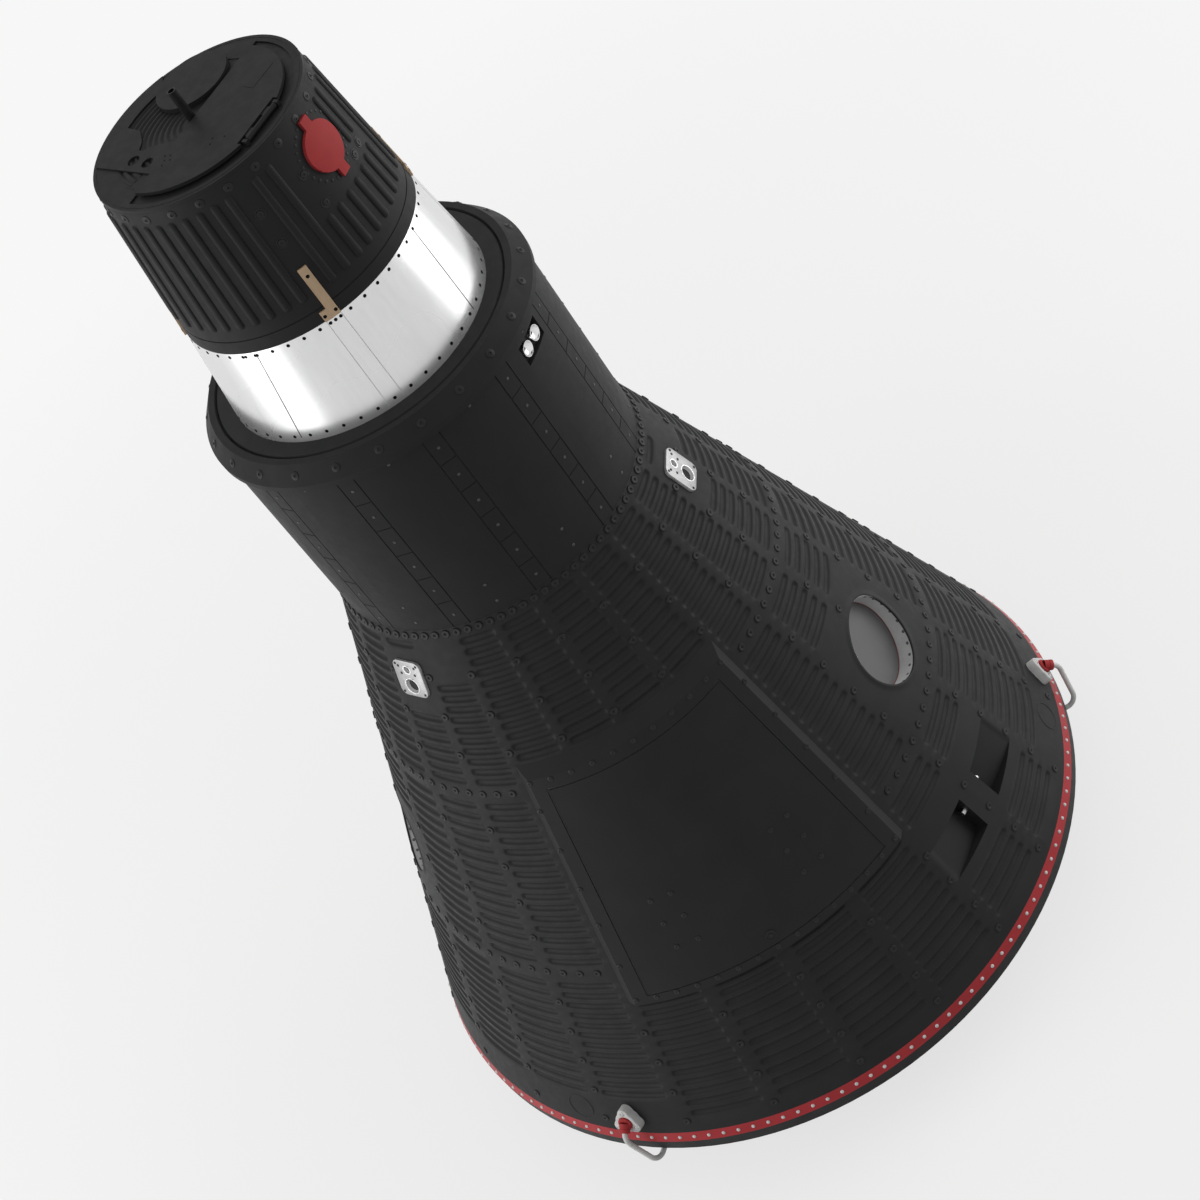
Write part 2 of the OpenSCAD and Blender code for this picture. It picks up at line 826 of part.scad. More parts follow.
// half disc whose straight edge lies just behind the axis, with a knuckle on the pin
// that two arms reach under a cut-out in the disc's round edge
flap_edge = -4;
flap_trim = 3;
cutout_reach = 15;
arm_offset = 30;
arm_w = 24;
arm_t = flap_t - 2;
flap_cut = 60;
module flap() {
    color(charcoal)
        rotate([0, 0, flap_az])
            difference() {
                union() {
                    intersection() {
                        translate([0, 0, flap_z]) cylinder(h = flap_t, r = flap_r);
                        translate([flap_edge, -flap_r, flap_z - eps])
                            cube([hinge_offset - flap_trim - flap_edge, 2 * flap_r, flap_cut]);
                    }
                    translate([hinge_offset, 0, hinge_z])
                        rotate([90, 0, 0]) cylinder(h = knuckle_l, r = knuckle_r, center = true);
                }
                difference() {
                    translate([hinge_offset - cutout_reach, -cutout_half, flap_z - top_cut])
                        cube([flap_cut, 2 * cutout_half, flap_cut]);
                    translate([hinge_offset, 0, hinge_z])
                        rotate([90, 0, 0])
                            cylinder(h = knuckle_l, r = knuckle_r + eps / 100, center = true);
                    for (side = [-1, 1])
                        translate([hinge_offset - cutout_reach - eps, side * arm_offset - arm_w / 2,
                                   flap_z])
                            cube([cutout_reach + eps, arm_w, arm_t]);
                }
                translate([hinge_offset, 0, hinge_z])
                    rotate([90, 0, 0])
                        cylinder(h = knuckle_l + 10, r = pin_r + pin_clear, center = true);
            }
}

tube_pos = [-6.5, 20];
tube_floor = 10;
tube_bore_r = tube_r - 2.5;
module air_data_tube() {
    color(dark)
        translate([tube_pos[0], tube_pos[1], top_z])
            difference() {
                cylinder(h = tube_h, r = tube_r);
                translate([0, 0, tube_floor]) cylinder(h = tube_h, r = tube_bore_r);
            }
}

round_cover_r = 88;
round_cover_t = 12;
round_cover_margin = 22;
round_cover_offset = antenna_top_r - round_cover_r - round_cover_margin;
module round_cover() {
    color(charcoal)
        rotate([0, 0, round_cover_az])
            translate([round_cover_offset, 0, top_z]) cylinder(h = round_cover_t, r = round_cover_r);
}

// ---- umbilicals ----------------------------------------------------------------------

umbilical_h = 50;
clamp_body_r = 30;
lobe_r = 17;
lobe_offset = 25;
module umbilical_clamps() {
    color(white)
        for (az = umbilical_az)
            on_cone(az, umbilical_h)
                difference() {
                    union() {
                        translate([0, 0, seat]) cylinder(h = clamp_t, r = clamp_body_r);
                        for (a = [90, 210, 330])
                            rotate([0, 0, a]) translate([lobe_offset, 0, seat]) cylinder(h = clamp_t, r = lobe_r);
                    }
                    translate([0, 0, -eps]) cylinder(h = cut_out, r = plug_r + seat);
                }
}

// plug in the clamp, then an elbow that points out and down, clear of the clamp's face
plug_foot = 1;
plug_rise = 6;
elbow_start = 4;
elbow_l = 22;
elbow_r = plug_r - 4.5;
elbow_dip = 30;
module umbilical_plugs() {
    color(red)
        for (az = umbilical_az)
            on_cone(az, umbilical_h) {
                translate([0, 0, plug_foot]) cylinder(h = clamp_t + plug_rise - plug_foot, r = plug_r);
                translate([0, 0, clamp_t + elbow_start])
                    rotate([lean + elbow_dip, 0, 0]) cylinder(h = elbow_l, r = elbow_r);
            }
}

// cable route in its own meridian frame: [out from the axis, along the rim, height]
cable_route = [
    [963.5, 0, 344], [969.5, 0, 339], [974, 0.5, 332.5], [976.5, 1, 324.5], [977, 2, 316],
    [977, 5, 304], [977, 9.5, 292], [977, 15, 280], [977, 20.5, 268], [977, 26, 256],
    [977, 30.5, 245], [976, 33.5, 236.5], [972.5, 36, 229], [967.5, 38, 222.5],
    [961, 39.5, 217.5], [953.5, 40.5, 214], [945, 41, 213], [934.5, 41, 213], [924, 41, 213]];
// the way along the rim that each cable leans: front, right, rear
cable_lean = [1, -1, 1];
cable_sides = 10;

function unit(v) = v / norm(v);
function route_dir(p, i) =
    unit(p[min(i + 1, len(p) - 1)] - p[max(i - 1, 0)]);

// tube swept along a route that never runs along the rim
module swept_tube(p, r, sides) {
    n = len(p);
    rings = [for (i = [0:n - 1])
        let (t = route_dir(p, i), e = unit([0, 1, 0] - t[1] * t), f = cross(t, e))
        [for (k = [0:sides - 1]) p[i] + r * (cos(360 * k / sides) * e + sin(360 * k / sides) * f)]];
    polyhedron(
        points = [for (ring = rings) for (q = ring) q],
        faces = concat(
            [[for (k = [0:sides - 1]) k]],
            [for (i = [0:n - 2]) for (k = [0:sides - 1])
                [i * sides + k, (i + 1) * sides + k, (i + 1) * sides + (k + 1) % sides,
                 i * sides + (k + 1) % sides]],
            [[for (k = [sides - 1:-1:0]) (n - 1) * sides + k]]));
}

module cable(index) {
    color(white)
        rotate([0, 0, umbilical_az[index]])
            swept_tube([for (q = cable_route) [q[0], cable_lean[index] * q[1], q[2]]],
                       cable_d / 2, cable_sides);
}
module cable_front() { cable(0); }
module cable_right() { cable(1); }
module cable_rear() { cable(2); }

// block under the shield's edge that each cable ends in, cut to the shield's slope
clip_inset = 22;
clip_out = base_r - clip_inset;
clip_l = 28;
clip_w = 28;
clip_drop = 30.637;
clip_z = rim_z - clip_drop;
clip_side = 41;
module cable_clips() {
    inner = clip_out - clip_l;
    color(dark)
        for (i = [0:2])
            rotate([0, 0, umbilical_az[i]])
                translate([0, cable_lean[i] * clip_side, 0])
                    rotate([90, 0, 0])
                        linear_extrude(clip_w, center = true)
                            polygon([[inner, clip_z], [clip_out, clip_z],
                                     [clip_out, shield_face_z(clip_out) - seat],
                                     [inner, shield_face_z(inner) - seat]]);
}

heat_shield();
shield_ring();
base_ring();
lower_front_wall();
lower_right_wall();
lower_rear_wall();
lower_left_wall();
middle_front_wall();
middle_right_wall();
middle_rear_wall();
middle_left_wall();
upper_front_wall();
upper_right_wall();
upper_rear_wall();
upper_left_wall();
hatch_frame();
hatch();
side_window_frame();
side_window_pane();
head_window_frame();
head_window_pane();
thruster_plates();
roll_jets();
cabin_floor();
forward_bulkhead();
couch();
couch_frame();
instrument_panel();
equipment_racks();
hand_controllers();
recovery_section();
yaw_jets();
clamp_flange();
bright_band();
antenna_section();
top_deck();
flap_hinge();
flap();
air_data_tube();
round_cover();
scanner_cover();
antenna_brackets();
umbilical_clamps();
umbilical_plugs();
cable_front();
cable_right();
cable_rear();
cable_clips();
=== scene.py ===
import math

import bmesh
import bpy
import numpy as np
from mathutils import Matrix, Vector


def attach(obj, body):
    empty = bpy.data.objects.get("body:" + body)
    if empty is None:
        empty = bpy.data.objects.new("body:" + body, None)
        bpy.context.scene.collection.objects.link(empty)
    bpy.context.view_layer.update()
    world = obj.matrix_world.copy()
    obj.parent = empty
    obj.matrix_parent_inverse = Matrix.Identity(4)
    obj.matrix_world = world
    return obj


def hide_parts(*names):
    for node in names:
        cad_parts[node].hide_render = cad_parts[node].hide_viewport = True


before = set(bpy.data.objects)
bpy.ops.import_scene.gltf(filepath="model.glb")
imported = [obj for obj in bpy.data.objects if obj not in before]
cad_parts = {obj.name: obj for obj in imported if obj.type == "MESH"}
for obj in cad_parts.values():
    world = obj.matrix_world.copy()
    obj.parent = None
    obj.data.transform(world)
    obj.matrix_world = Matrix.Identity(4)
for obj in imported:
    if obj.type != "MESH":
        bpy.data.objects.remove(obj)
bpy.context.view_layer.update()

MM = 0.001
scene = bpy.context.scene

# ---- sizes in millimetres, in the row frame ------------------------------------------
BASE_R, FOOT_R, RECOVERY_R = 946.0, 935.7, 411.5
STRIPE_Z, FOOT_Z = 267.637, 295.137
CONE_H, CONE_TOP_Z = 1450.0, 1745.137
RECOVERY_H, FLANGE_Z, BAND_Z = 521.0, 2266.137, 2321.137
BAND_R, BAND_H = 329.0, 250.0
ANTENNA_R, ANTENNA_TOP_R, ANTENNA_Z, ANTENNA_H = 297.3, 256.0, 2571.137, 379.0
FLANGE_R, FLANGE_TOP_R, FLANGE_LIP_H = 424.0, 392.6, 15.0
TOP_Z = 2958.137
# azimuth, in degrees, of the meridian that the hatch side's columns are counted from
REFERENCE_AZ = -83.55
BANDS = {"lower": (0.0, 494.0), "middle": (494.0, 1011.0), "upper": (1011.0, CONE_H)}
SIDES = {"front": -135.0, "right": -45.0, "rear": 45.0, "left": 135.0}
THRUSTER_AZ = (-142.5, -22.5, 97.5)
THRUSTER_H, PLATE_W, PLATE_H = 1320.0, 88.0, 100.0
SCOOP_AZ = (-45.0, 135.0)
SCOOP_HALF_GAP, SCOOP_H, SCOOP_L, SCOOP_W, SCOOP_D = 8.5, 254.0, 164.0, 112.0, 42.0
WINDOWS = {"side": -29.7, "head": 180.0}
WINDOW_R, WINDOW_H = 118.0, 657.0
FRAME_HALF, FRAME_LO, FRAME_HI, FRAME_RISE = 30.1, 403.9, 1083.0, 22.0
YAW_AZ = (-38.5, 141.5)
UMBILICAL_AZ = (-130.0, -10.0, 110.0)
UMBILICAL_LEAN = (1, -1, 1)
UMBILICAL_H = 50.0
FLAP_AZ = -53.5
WALL_T = 60.0
SCANNER_AZ, SCANNER_H, SCANNER_BOLTS_R = -42.5, 278.0, 72
BRACKET_AZ = (-85.5, 4.5, 94.5, 184.5)


def quads(rows, n, closed=True):
    """Faces between rows + 1 rings, or open lines, of n vertices each."""
    return [(i * n + k, i * n + (k + 1) % n, (i + 1) * n + (k + 1) % n, (i + 1) * n + k)
            for i in range(rows) for k in range(n if closed else n - 1)]


class Cone:
    """A frustum about the axis, with heights measured from its foot."""

    def __init__(self, r0, r1, z0, height):
        self.r0, self.z0, self.h = r0, z0, height
        self.slope = (r0 - r1) / height
        self.lean = math.atan(self.slope)

    def radius(self, h):
        return self.r0 - self.slope * h

    def points(self, az, h, out=0.0):
        """Metres for arrays of azimuth in degrees, height and distance off the skin."""
        a = np.radians(az)
        r = self.radius(h) + np.asarray(out) * math.cos(self.lean)
        z = self.z0 + h + np.asarray(out) * math.sin(self.lean)
        return np.stack([r * np.cos(a), r * np.sin(a), z + 0 * a], -1) * MM

    def frame(self, az, h, out=0.0):
        """Matrix whose Z leaves the skin, whose Y runs up it and whose X runs along the rim."""
        a = math.radians(az)
        c, s = math.cos(self.lean), math.sin(self.lean)
        n = Vector((c * math.cos(a), c * math.sin(a), s))
        up = Vector((-s * math.cos(a), -s * math.sin(a), c))
        x = up.cross(n)
        o = Vector(self.points(np.array(az), np.array(h), out))
        m = Matrix.Identity(4)
        for i, v in enumerate((x, up, n, o)):
            m.col[i] = (*v, 1.0 if i == 3 else 0.0)
        return m


CONE = Cone(FOOT_R, RECOVERY_R, FOOT_Z, CONE_H)
CYLINDER = Cone(RECOVERY_R, RECOVERY_R, CONE_TOP_Z, RECOVERY_H)
BAND = Cone(BAND_R, ANTENNA_R, BAND_Z, BAND_H)
ANTENNA = Cone(ANTENNA_R, ANTENNA_TOP_R, ANTENNA_Z, ANTENNA_H)

# ---- camera --------------------------------------------------------------------------
CAMERA_AT = (0.604, -4.735, 5.394)
CAMERA_RIGHT = (0.8372, -0.3031, -0.4552)
CAMERA_UP = (0.5403, 0.5874, 0.6024)
camera_data = bpy.data.cameras.new("camera")
camera_data.lens, camera_data.sensor_width = 75.65, 36.0
camera = bpy.data.objects.new("camera", camera_data)
scene.collection.objects.link(camera)
right, up = Vector(CAMERA_RIGHT).normalized(), Vector(CAMERA_UP)
back = right.cross(up).normalized()
up = back.cross(right)
camera.matrix_world = Matrix(
    [[right[i], up[i], back[i], CAMERA_AT[i]] for i in range(3)] + [[0, 0, 0, 1]]
)
scene.camera = camera

# ---- cords: the three umbilical cables, in each one's own meridian frame --------------
ROUTE = [
    (963.5, 0, 344), (969.5, 0, 339), (974, 0.5, 332.5), (976.5, 1, 324.5), (977, 2, 316),
    (977, 5, 304), (977, 9.5, 292), (977, 15, 280), (977, 20.5, 268), (977, 26, 256),
    (977, 30.5, 245), (976, 33.5, 236.5), (972.5, 36, 229), (967.5, 38, 222.5),
    (961, 39.5, 217.5), (953.5, 40.5, 214), (945, 41, 213), (934.5, 41, 213), (924, 41, 213)]
CABLE_D = 0.014
umbilicals = {"front": 0, "right": 1, "rear": 2}
cables = {}


def smooth_route(points, steps=3):
    """A curve that passes through every point, as a denser list of points."""
    p = [points[0] * 2 - points[1], *points, points[-1] * 2 - points[-2]]
    out = []
    for a, b, c, d in zip(p, p[1:], p[2:], p[3:]):
        for k in range(steps):
            t = k / steps
            out.append(0.5 * (2 * b + (c - a) * t + (2 * a - 5 * b + 4 * c - d) * t * t
                              + (3 * b - a - 3 * c + d) * t ** 3))
    return out + [points[-1]]


def tube(path, radius, sides=20):
    """Vertices and faces of a closed round tube along a path."""
    verts = []
    side = (path[1] - path[0]).orthogonal().normalized()
    for k, p in enumerate(path):
        d = (path[min(k + 1, len(path) - 1)] - path[max(k - 1, 0)]).normalized()
        side = (side - d * side.dot(d)).normalized()
        other = d.cross(side)
        for j in range(sides):
            a = 2 * math.pi * j / sides
            verts.append(tuple(p + (side * math.cos(a) + other * math.sin(a)) * radius))
    ends = [tuple(range(sides))[::-1], tuple((len(path) - 1) * sides + j for j in range(sides))]
    return verts, quads(len(path) - 1, sides) + ends


for side, k in umbilicals.items():
    turn = Matrix.Rotation(math.radians(UMBILICAL_AZ[k]), 3, "Z")
    points = smooth_route([turn @ Vector((x, UMBILICAL_LEAN[k] * y, z)) * MM for x, y, z in ROUTE])
    data = bpy.data.meshes.new(f"{side}_cable")
    verts, faces = tube(points, CABLE_D / 2)
    data.from_pydata(verts, [], faces)
    data.polygons.foreach_set("use_smooth", [True] * len(data.polygons))
    data.set_sharp_from_angle(angle=math.radians(60))
    cable = bpy.data.objects.new(f"{side}_cable", data)
    scene.collection.objects.link(cable)
    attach(cable, "capsule")
    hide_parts(f"cable_{side}")
    cables[side] = (cable, points)


# ---- materials -----------------------------------------------------------------------
def feed(nt, n, inputs):
    """Links each input that is given a socket, and sets the others as constants."""
    for key, value in inputs.items():
        if isinstance(value, bpy.types.NodeSocket):
            nt.links.new(value, n.inputs[key])
        else:
            n.inputs[key].default_value = value
    return n


def node(nt, kind, inputs, **settings):
    n = nt.nodes.new("ShaderNode" + kind)
    for key, value in settings.items():
        setattr(n, key, value)
    return feed(nt, n, inputs)


def node_material(name):
    """A material with its tree, its shader and the object's own coordinates."""
    m = bpy.data.materials.new(name)
    m.use_nodes = True
    nt = m.node_tree
    nt.nodes.clear()
    bsdf = node(nt, "BsdfPrincipled", {})
    node(nt, "OutputMaterial", {0: bsdf.outputs[0]})
    return m, nt, bsdf, node(nt, "TexCoord", {}).outputs["Object"]


def noise(nt, coord, scale, detail=4.0, rough=0.55, stretch=None):
    if stretch:
        coord = node(nt, "Mapping", {0: coord, "Scale": stretch}).outputs[0]
    inputs = {"Vector": coord, "Scale": scale, "Detail": detail, "Roughness": rough}
    return node(nt, "TexNoise", inputs).outputs[0]


def ramp(nt, value, stops):
    """Passes from one colour to another between two values of the input."""
    r = node(nt, "ValToRGB", {0: value})
    for element, (at, colour) in zip(r.color_ramp.elements, stops):
        element.position = at
        element.color = (*colour, 1)
    return r.outputs[0]


def remap(nt, value, lo, hi, low=0.3, high=0.7):
    """Takes low..high to lo..hi."""
    inputs = {0: value, "From Min": low, "From Max": high, "To Min": lo, "To Max": hi}
    return node(nt, "MapRange", inputs).outputs[0]


def bumped(nt, height, distance):
    return node(nt, "Bump", {"Strength": 1.0, "Distance": distance, "Height": height}).outputs[0]


def seen_rays(nt):
    """1 for camera, glossy and transmission rays, 0 for the rest."""
    path = node(nt, "LightPath", {})
    value = path.outputs["Is Camera Ray"]
    for kind in ("Is Glossy Ray", "Is Transmission Ray"):
        value = node(nt, "Math", {0: value, 1: path.outputs[kind]}, operation="MAXIMUM").outputs[0]
    return value


def surface(
    name, dark, light, rough, metallic=0.0, scale=9.0, grain=700.0, bump=0.00012,
    specular=0.5, stretch=None,
):
    """Two close colours in broad patches, a roughness in smaller ones, and a fine grain."""
    m, nt, bsdf, co = node_material(name)
    broad = noise(nt, co, scale, 6.0, 0.6, stretch)
    smear = noise(nt, co, scale * 4.0, 5.0, 0.65)
    feed(nt, bsdf, {
        "Base Color": ramp(nt, broad, [(0.32, dark), (0.68, light)]),
        "Roughness": remap(nt, smear, *rough), "Metallic": metallic, "Specular IOR Level": specular,
    })
    if bump:
        feed(nt, bsdf, {"Normal": bumped(nt, noise(nt, co, grain, 3.0, 0.6), bump)})
    return m


shingle = surface("shingle", (0.016, 0.016, 0.0165), (0.022, 0.022, 0.0225), (0.48, 0.62), specular=0.16)
skin = surface("upper_skin", (0.017, 0.017, 0.0175), (0.021, 0.021, 0.0215), (0.50, 0.62), specular=0.14)
hatch_skin = surface(
    "hatch_skin", (0.016, 0.016, 0.0165), (0.021, 0.021, 0.0215), (0.48, 0.60), specular=0.16
)
bolt_paint = surface(
    "bolt_paint", (0.013, 0.013, 0.0135), (0.021, 0.021, 0.0215), (0.36, 0.5), scale=60, specular=0.2
)
# near-black for real dark joints, dots and rivet heads, and also painted shade: black discs standing in for
# the dark inside the yaw jets' throats and the deck's port holes
black_marks_and_hole_shade = surface(
    "black_marks_and_hole_shade", (0.003, 0.003, 0.003), (0.006, 0.006, 0.006), (0.6, 0.8), scale=30, specular=0.08
)
pale_rivet = surface(
    "pale_rivet", (0.07, 0.07, 0.07), (0.13, 0.13, 0.13), (0.4, 0.5), scale=90, specular=0.2
)
ablator = surface(
    "ablator", (0.014, 0.013, 0.0125), (0.024, 0.022, 0.020), (0.55, 0.75), scale=14, grain=240, bump=0.0006,
    specular=0.2,
)
red_paint = surface(
    "red_paint", (0.40, 0.030, 0.036), (0.48, 0.040, 0.047), (0.34, 0.48), scale=12, specular=0.25
)
red_cover = surface(
    "red_cover", (0.43, 0.045, 0.047), (0.48, 0.052, 0.054), (0.45, 0.58), scale=25, specular=0.12
)
metal = surface(
    "bare_metal", (0.34, 0.34, 0.34), (0.46, 0.46, 0.46), (0.20, 0.34), metallic=1.0, scale=30, grain=1200,
    bump=0.00005,
)
polished = surface(
    "polished_metal", (0.66, 0.66, 0.67), (0.82, 0.82, 0.82), (0.10, 0.20), metallic=1.0, scale=40, bump=0.0
)
plate_metal = surface(
    "plate_metal", (0.38, 0.38, 0.38), (0.46, 0.46, 0.46), (0.34, 0.46), metallic=0.5, scale=50, grain=900
)
tan_metal = surface(
    "tan_metal", (0.45, 0.32, 0.20), (0.57, 0.41, 0.27), (0.42, 0.6), metallic=0.3, scale=40,
    stretch=(1, 1, 0.2),
)
white_paint = surface("white_clamp", (0.66, 0.66, 0.65), (0.76, 0.76, 0.75), (0.35, 0.5), scale=60)
sheath = surface("cable_sheath", (0.66, 0.66, 0.65), (0.76, 0.76, 0.75), (0.38, 0.52), scale=80, grain=900)
seal_red = surface("seal_red", (0.20, 0.07, 0.07), (0.25, 0.09, 0.09), (0.5, 0.6), scale=60, specular=0.1)
pane_grey = surface(
    "pane", (0.140, 0.140, 0.140), (0.155, 0.155, 0.155), (0.3, 0.4), scale=8, bump=0.0, specular=0.3
)
tunnel_grey = surface("tunnel", (0.68, 0.68, 0.68), (0.76, 0.76, 0.76), (0.4, 0.55), scale=40, specular=0.3)
cabin_paint = surface("cabin_paint", (0.10, 0.11, 0.11), (0.16, 0.17, 0.17), (0.45, 0.6), scale=12)
plastic = surface(
    "black_plastic", (0.010, 0.010, 0.0105), (0.018, 0.018, 0.0185), (0.35, 0.5), scale=50,
    specular=0.2
)


def band_material():
    """Bright bare sheet, polished round the axis, with faint vertical brushing."""
    m, nt, bsdf, co = node_material("band_metal")
    brushed = noise(nt, co, 60.0, 4.0, 0.6, (1.0, 1.0, 0.08))
    feed(nt, bsdf, {
        "Base Color": ramp(nt, brushed, [(0.3, (0.74, 0.74, 0.745)), (0.7, (0.78, 0.78, 0.785))]),
        "Roughness": remap(nt, noise(nt, co, 3.0, 1.0), 0.26, 0.29), "Metallic": 0.8,
    })
    return m


def pad_material():
    """Ribbed cloth over the couch."""
    m, nt, bsdf, co = node_material("couch_pad")
    weave = node(nt, "TexWave", {"Scale": 180.0, "Distortion": 0.4, "Vector": co})
    shade = noise(nt, co, 25.0, 5.0)
    feed(nt, bsdf, {
        "Base Color": ramp(nt, shade, [(0.3, (0.15, 0.17, 0.14)), (0.7, (0.22, 0.24, 0.20))]),
        "Roughness": remap(nt, shade, 0.75, 0.92), "Normal": bumped(nt, weave.outputs[0], 0.0004),
    })
    return m


band_metal, couch_pad = band_material(), pad_material()


# ---- mesh helpers --------------------------------------------------------------------
def make(name, verts, faces, materials, body="capsule", index=None, sharp=55.0, replaces=(), slot=None):
    """A mesh that rides a body, its edges sharp above an angle in degrees, or nowhere at 0."""
    me = bpy.data.meshes.new(name)
    me.from_pydata([tuple(v) for v in verts], [], [tuple(f) for f in faces])
    for m in materials:
        me.materials.append(m)
    if index is not None:
        me.polygons.foreach_set("material_index", np.asarray(index, np.int32))
    me.polygons.foreach_set("use_smooth", [True] * len(me.polygons))
    me.validate()
    me.update()
    if sharp:
        me.set_sharp_from_angle(angle=math.radians(sharp))
    o = bpy.data.objects.new(name, me)
    scene.collection.objects.link(o)
    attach(o, body)
    if replaces:
        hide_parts(*replaces)
    return o


class Builder:
    """Collects vertices and faces of many small shapes into one mesh."""

    def __init__(self):
        self.v, self.f, self.m, self.n = [], [], [], 0

    def add(self, verts, faces, material=0, matrix=None):
        verts = np.asarray(verts, float)
        if matrix is not None:
            a = np.array(matrix)
            verts = verts @ a[:3, :3].T + a[:3, 3]
        self.v.append(verts)
        self.f += [tuple(i + self.n for i in f) for f in faces]
        self.m += [material] * len(faces)
        self.n += len(verts)

    def make(self, name, materials, **kw):
        return make(name, np.concatenate(self.v), self.f, materials, index=self.m, **kw)


def rings(profile, count, closed_top=True):
    """A turned shape about Z from (radius, height) pairs in mm; the last closes to a point."""
    t = np.linspace(0, 2 * math.pi, count, endpoint=False)
    verts = [(r * MM * math.cos(a), r * MM * math.sin(a), z * MM) for r, z in profile for a in t]
    faces = quads(len(profile) - 1, count)
    if closed_top:
        faces.append(tuple((len(profile) - 1) * count + k for k in range(count)))
    return verts, faces


BOLT = rings([(10.4, -0.6), (10.0, 1.7), (8.8, 3.0), (5.0, 3.4), (3.4, 2.8), (1.8, 0.6)], 16)
SMALL_BOLT = rings([(7.5, -0.4), (7.1, 1.0), (6.0, 1.6), (3.0, 1.9), (2.2, 1.3), (1.2, 0.6)], 14)
PAD_BOLT = rings([(10.5, -0.4), (10.0, 0.9), (8.8, 1.5), (4.2, 1.8), (3.4, 3.0), (2.4, 3.0), (1.6, 1.0)], 16)
DOT = rings([(4.2, -0.2), (3.9, 0.5), (2.0, 0.8)], 12)
RIVET = rings([(4.0, -0.3), (3.5, 0.9), (1.6, 1.5)], 10)
RINGED = rings([(13, -0.3), (12.4, 0.8), (9.6, 0.8), (8.8, 0.2), (8.0, 2.0), (3.2, 2.6), (2.4, 1.4)], 14)


def field(name, surf, az, h, depth, materials, keep=None, **kw):
    """A skin over a grid of azimuth and height, pushed in by depth(az, h) in mm.
    az is one line of azimuths, or one for each height where columns bend to follow a shape."""
    az = np.asarray(az, float)
    h = np.asarray(h, float)
    if az.ndim == 1:
        az = np.tile(az, (len(h), 1))
    hh = np.tile(h[:, None], (1, az.shape[1]))
    out = -depth(az, hh)
    verts = surf.points(az, hh, out).reshape(-1, 3)
    n = az.shape[1]
    rows, cols = np.meshgrid(np.arange(len(h) - 1), np.arange(n - 1), indexing="ij")
    a = (rows * n + cols).ravel()
    faces = np.stack([a, a + 1, a + n + 1, a + n], -1)
    if keep is not None:
        ca = (az[:-1, :-1] + az[:-1, 1:] + az[1:, :-1] + az[1:, 1:]).ravel() / 4
        ch = (hh[:-1, :-1] + hh[1:, 1:]).ravel() / 2
        faces = faces[keep(ca, ch)]
    used = np.unique(faces)
    remap_to = np.full(len(verts), -1)
    remap_to[used] = np.arange(len(used))
    return make(name, verts[used], remap_to[faces].tolist(), materials, **kw)


def trough(across, along, half_l, half_w, deep):
    """Depth of a round-ended groove at distances from its middle, in mm."""
    d = np.hypot(np.maximum(np.abs(across) - (half_l - half_w), 0), along) / half_w
    return deep * np.clip(1 - d * d, 0, 1) ** 0.75


def wrapped(a):
    return (np.asarray(a) + 180.0) % 360.0 - 180.0


# ---- beads of the cone's shingles ----------------------------------------------------
# unit of the heights measured in the photo: the seam under the cone's upper band is at 1
FIT = 1011.55
COLUMN_HALF, SCOOP_LIP = 7.5, 0.4
UP_ROWS = [FIT * (1.3946 - 0.02795 * k) for k in range(14)]
MID_ROWS = [FIT * (0.964 - 0.03164 * k) for k in range(15)]
LOW_ROWS = [FIT * (0.450 - 0.03018 * k) for k in range(12)] + [FIT * 0.087, FIT * 0.056]
ROWS = {"upper": UP_ROWS, "middle": MID_ROWS, "lower": LOW_ROWS}
BEAD_HALF_W, BEAD_DEEP = 10.0, 6.3
BEAD_HALF_AZ = 6.2


def rows_of(column, band):
    """Which bead rows a column of shingles has; columns are named by their middle."""
    c = int(column)
    plate, beside_plate = (-59, 61, -179), (-44, 76, -164)
    hatch, scoops = (-29, -14, 1, 16), (31, 46, -149, -134)
    window = (46, 61, -104, -89)
    if band == "upper":
        if c in plate:
            return {0, *range(7, 14)}
        if c in beside_plate:
            return set(range(4, 14))
        return set(range(12)) if c in hatch else set(range(14))
    if band == "middle":
        return set() if c in hatch else set(range(5 if c in window else 15))
    extra = {12, 13} if c in hatch + scoops else set()
    if c in hatch:
        return set(range(2, 12)) | extra
    if c in scoops:
        return {0, 1, 2, 10, 11} | extra
    return set(range(12))


COLUMNS = [-179 + 15 * k for k in range(24)]


def bead_depth(band):
    rows = ROWS[band]
    has = {c: rows_of(c, band) for c in COLUMNS}

    def depth(az, h):
        total = np.zeros_like(az)
        theta = wrapped(az - REFERENCE_AZ)
        column = np.floor((theta + 180 + 6.5) / 15).astype(int) % 24
        centre = np.array(COLUMNS)[column]
        off = wrapped(theta - centre)
        r = CONE.radius(h)
        across = np.radians(off) * r
        for k, hk in enumerate(rows):
            near = np.abs(h - hk) < 14
            mask = np.array([k in has[c] for c in COLUMNS])[column] & near
            if mask.any():
                along = (h - hk) / math.cos(CONE.lean)
                half_l = np.radians(BEAD_HALF_AZ) * r
                total = np.where(mask, trough(across, along, half_l, BEAD_HALF_W, BEAD_DEEP), total)
        if band == "lower":
            for pair in SCOOP_AZ:
                for side in (-1, 1):
                    x = wrapped(az - pair - side * SCOOP_HALF_GAP) * -side
                    x = np.radians(x) * CONE.radius(SCOOP_H)
                    y = (h - SCOOP_H) / math.cos(CONE.lean)
                    inside = (np.abs(x) < SCOOP_L / 2) & (np.abs(y) < SCOOP_W / 2)
                    ramp_d = SCOOP_LIP + (SCOOP_D - SCOOP_LIP) * (x + SCOOP_L / 2) / SCOOP_L
                    total = np.where(inside, ramp_d, total)
        return total

    return depth


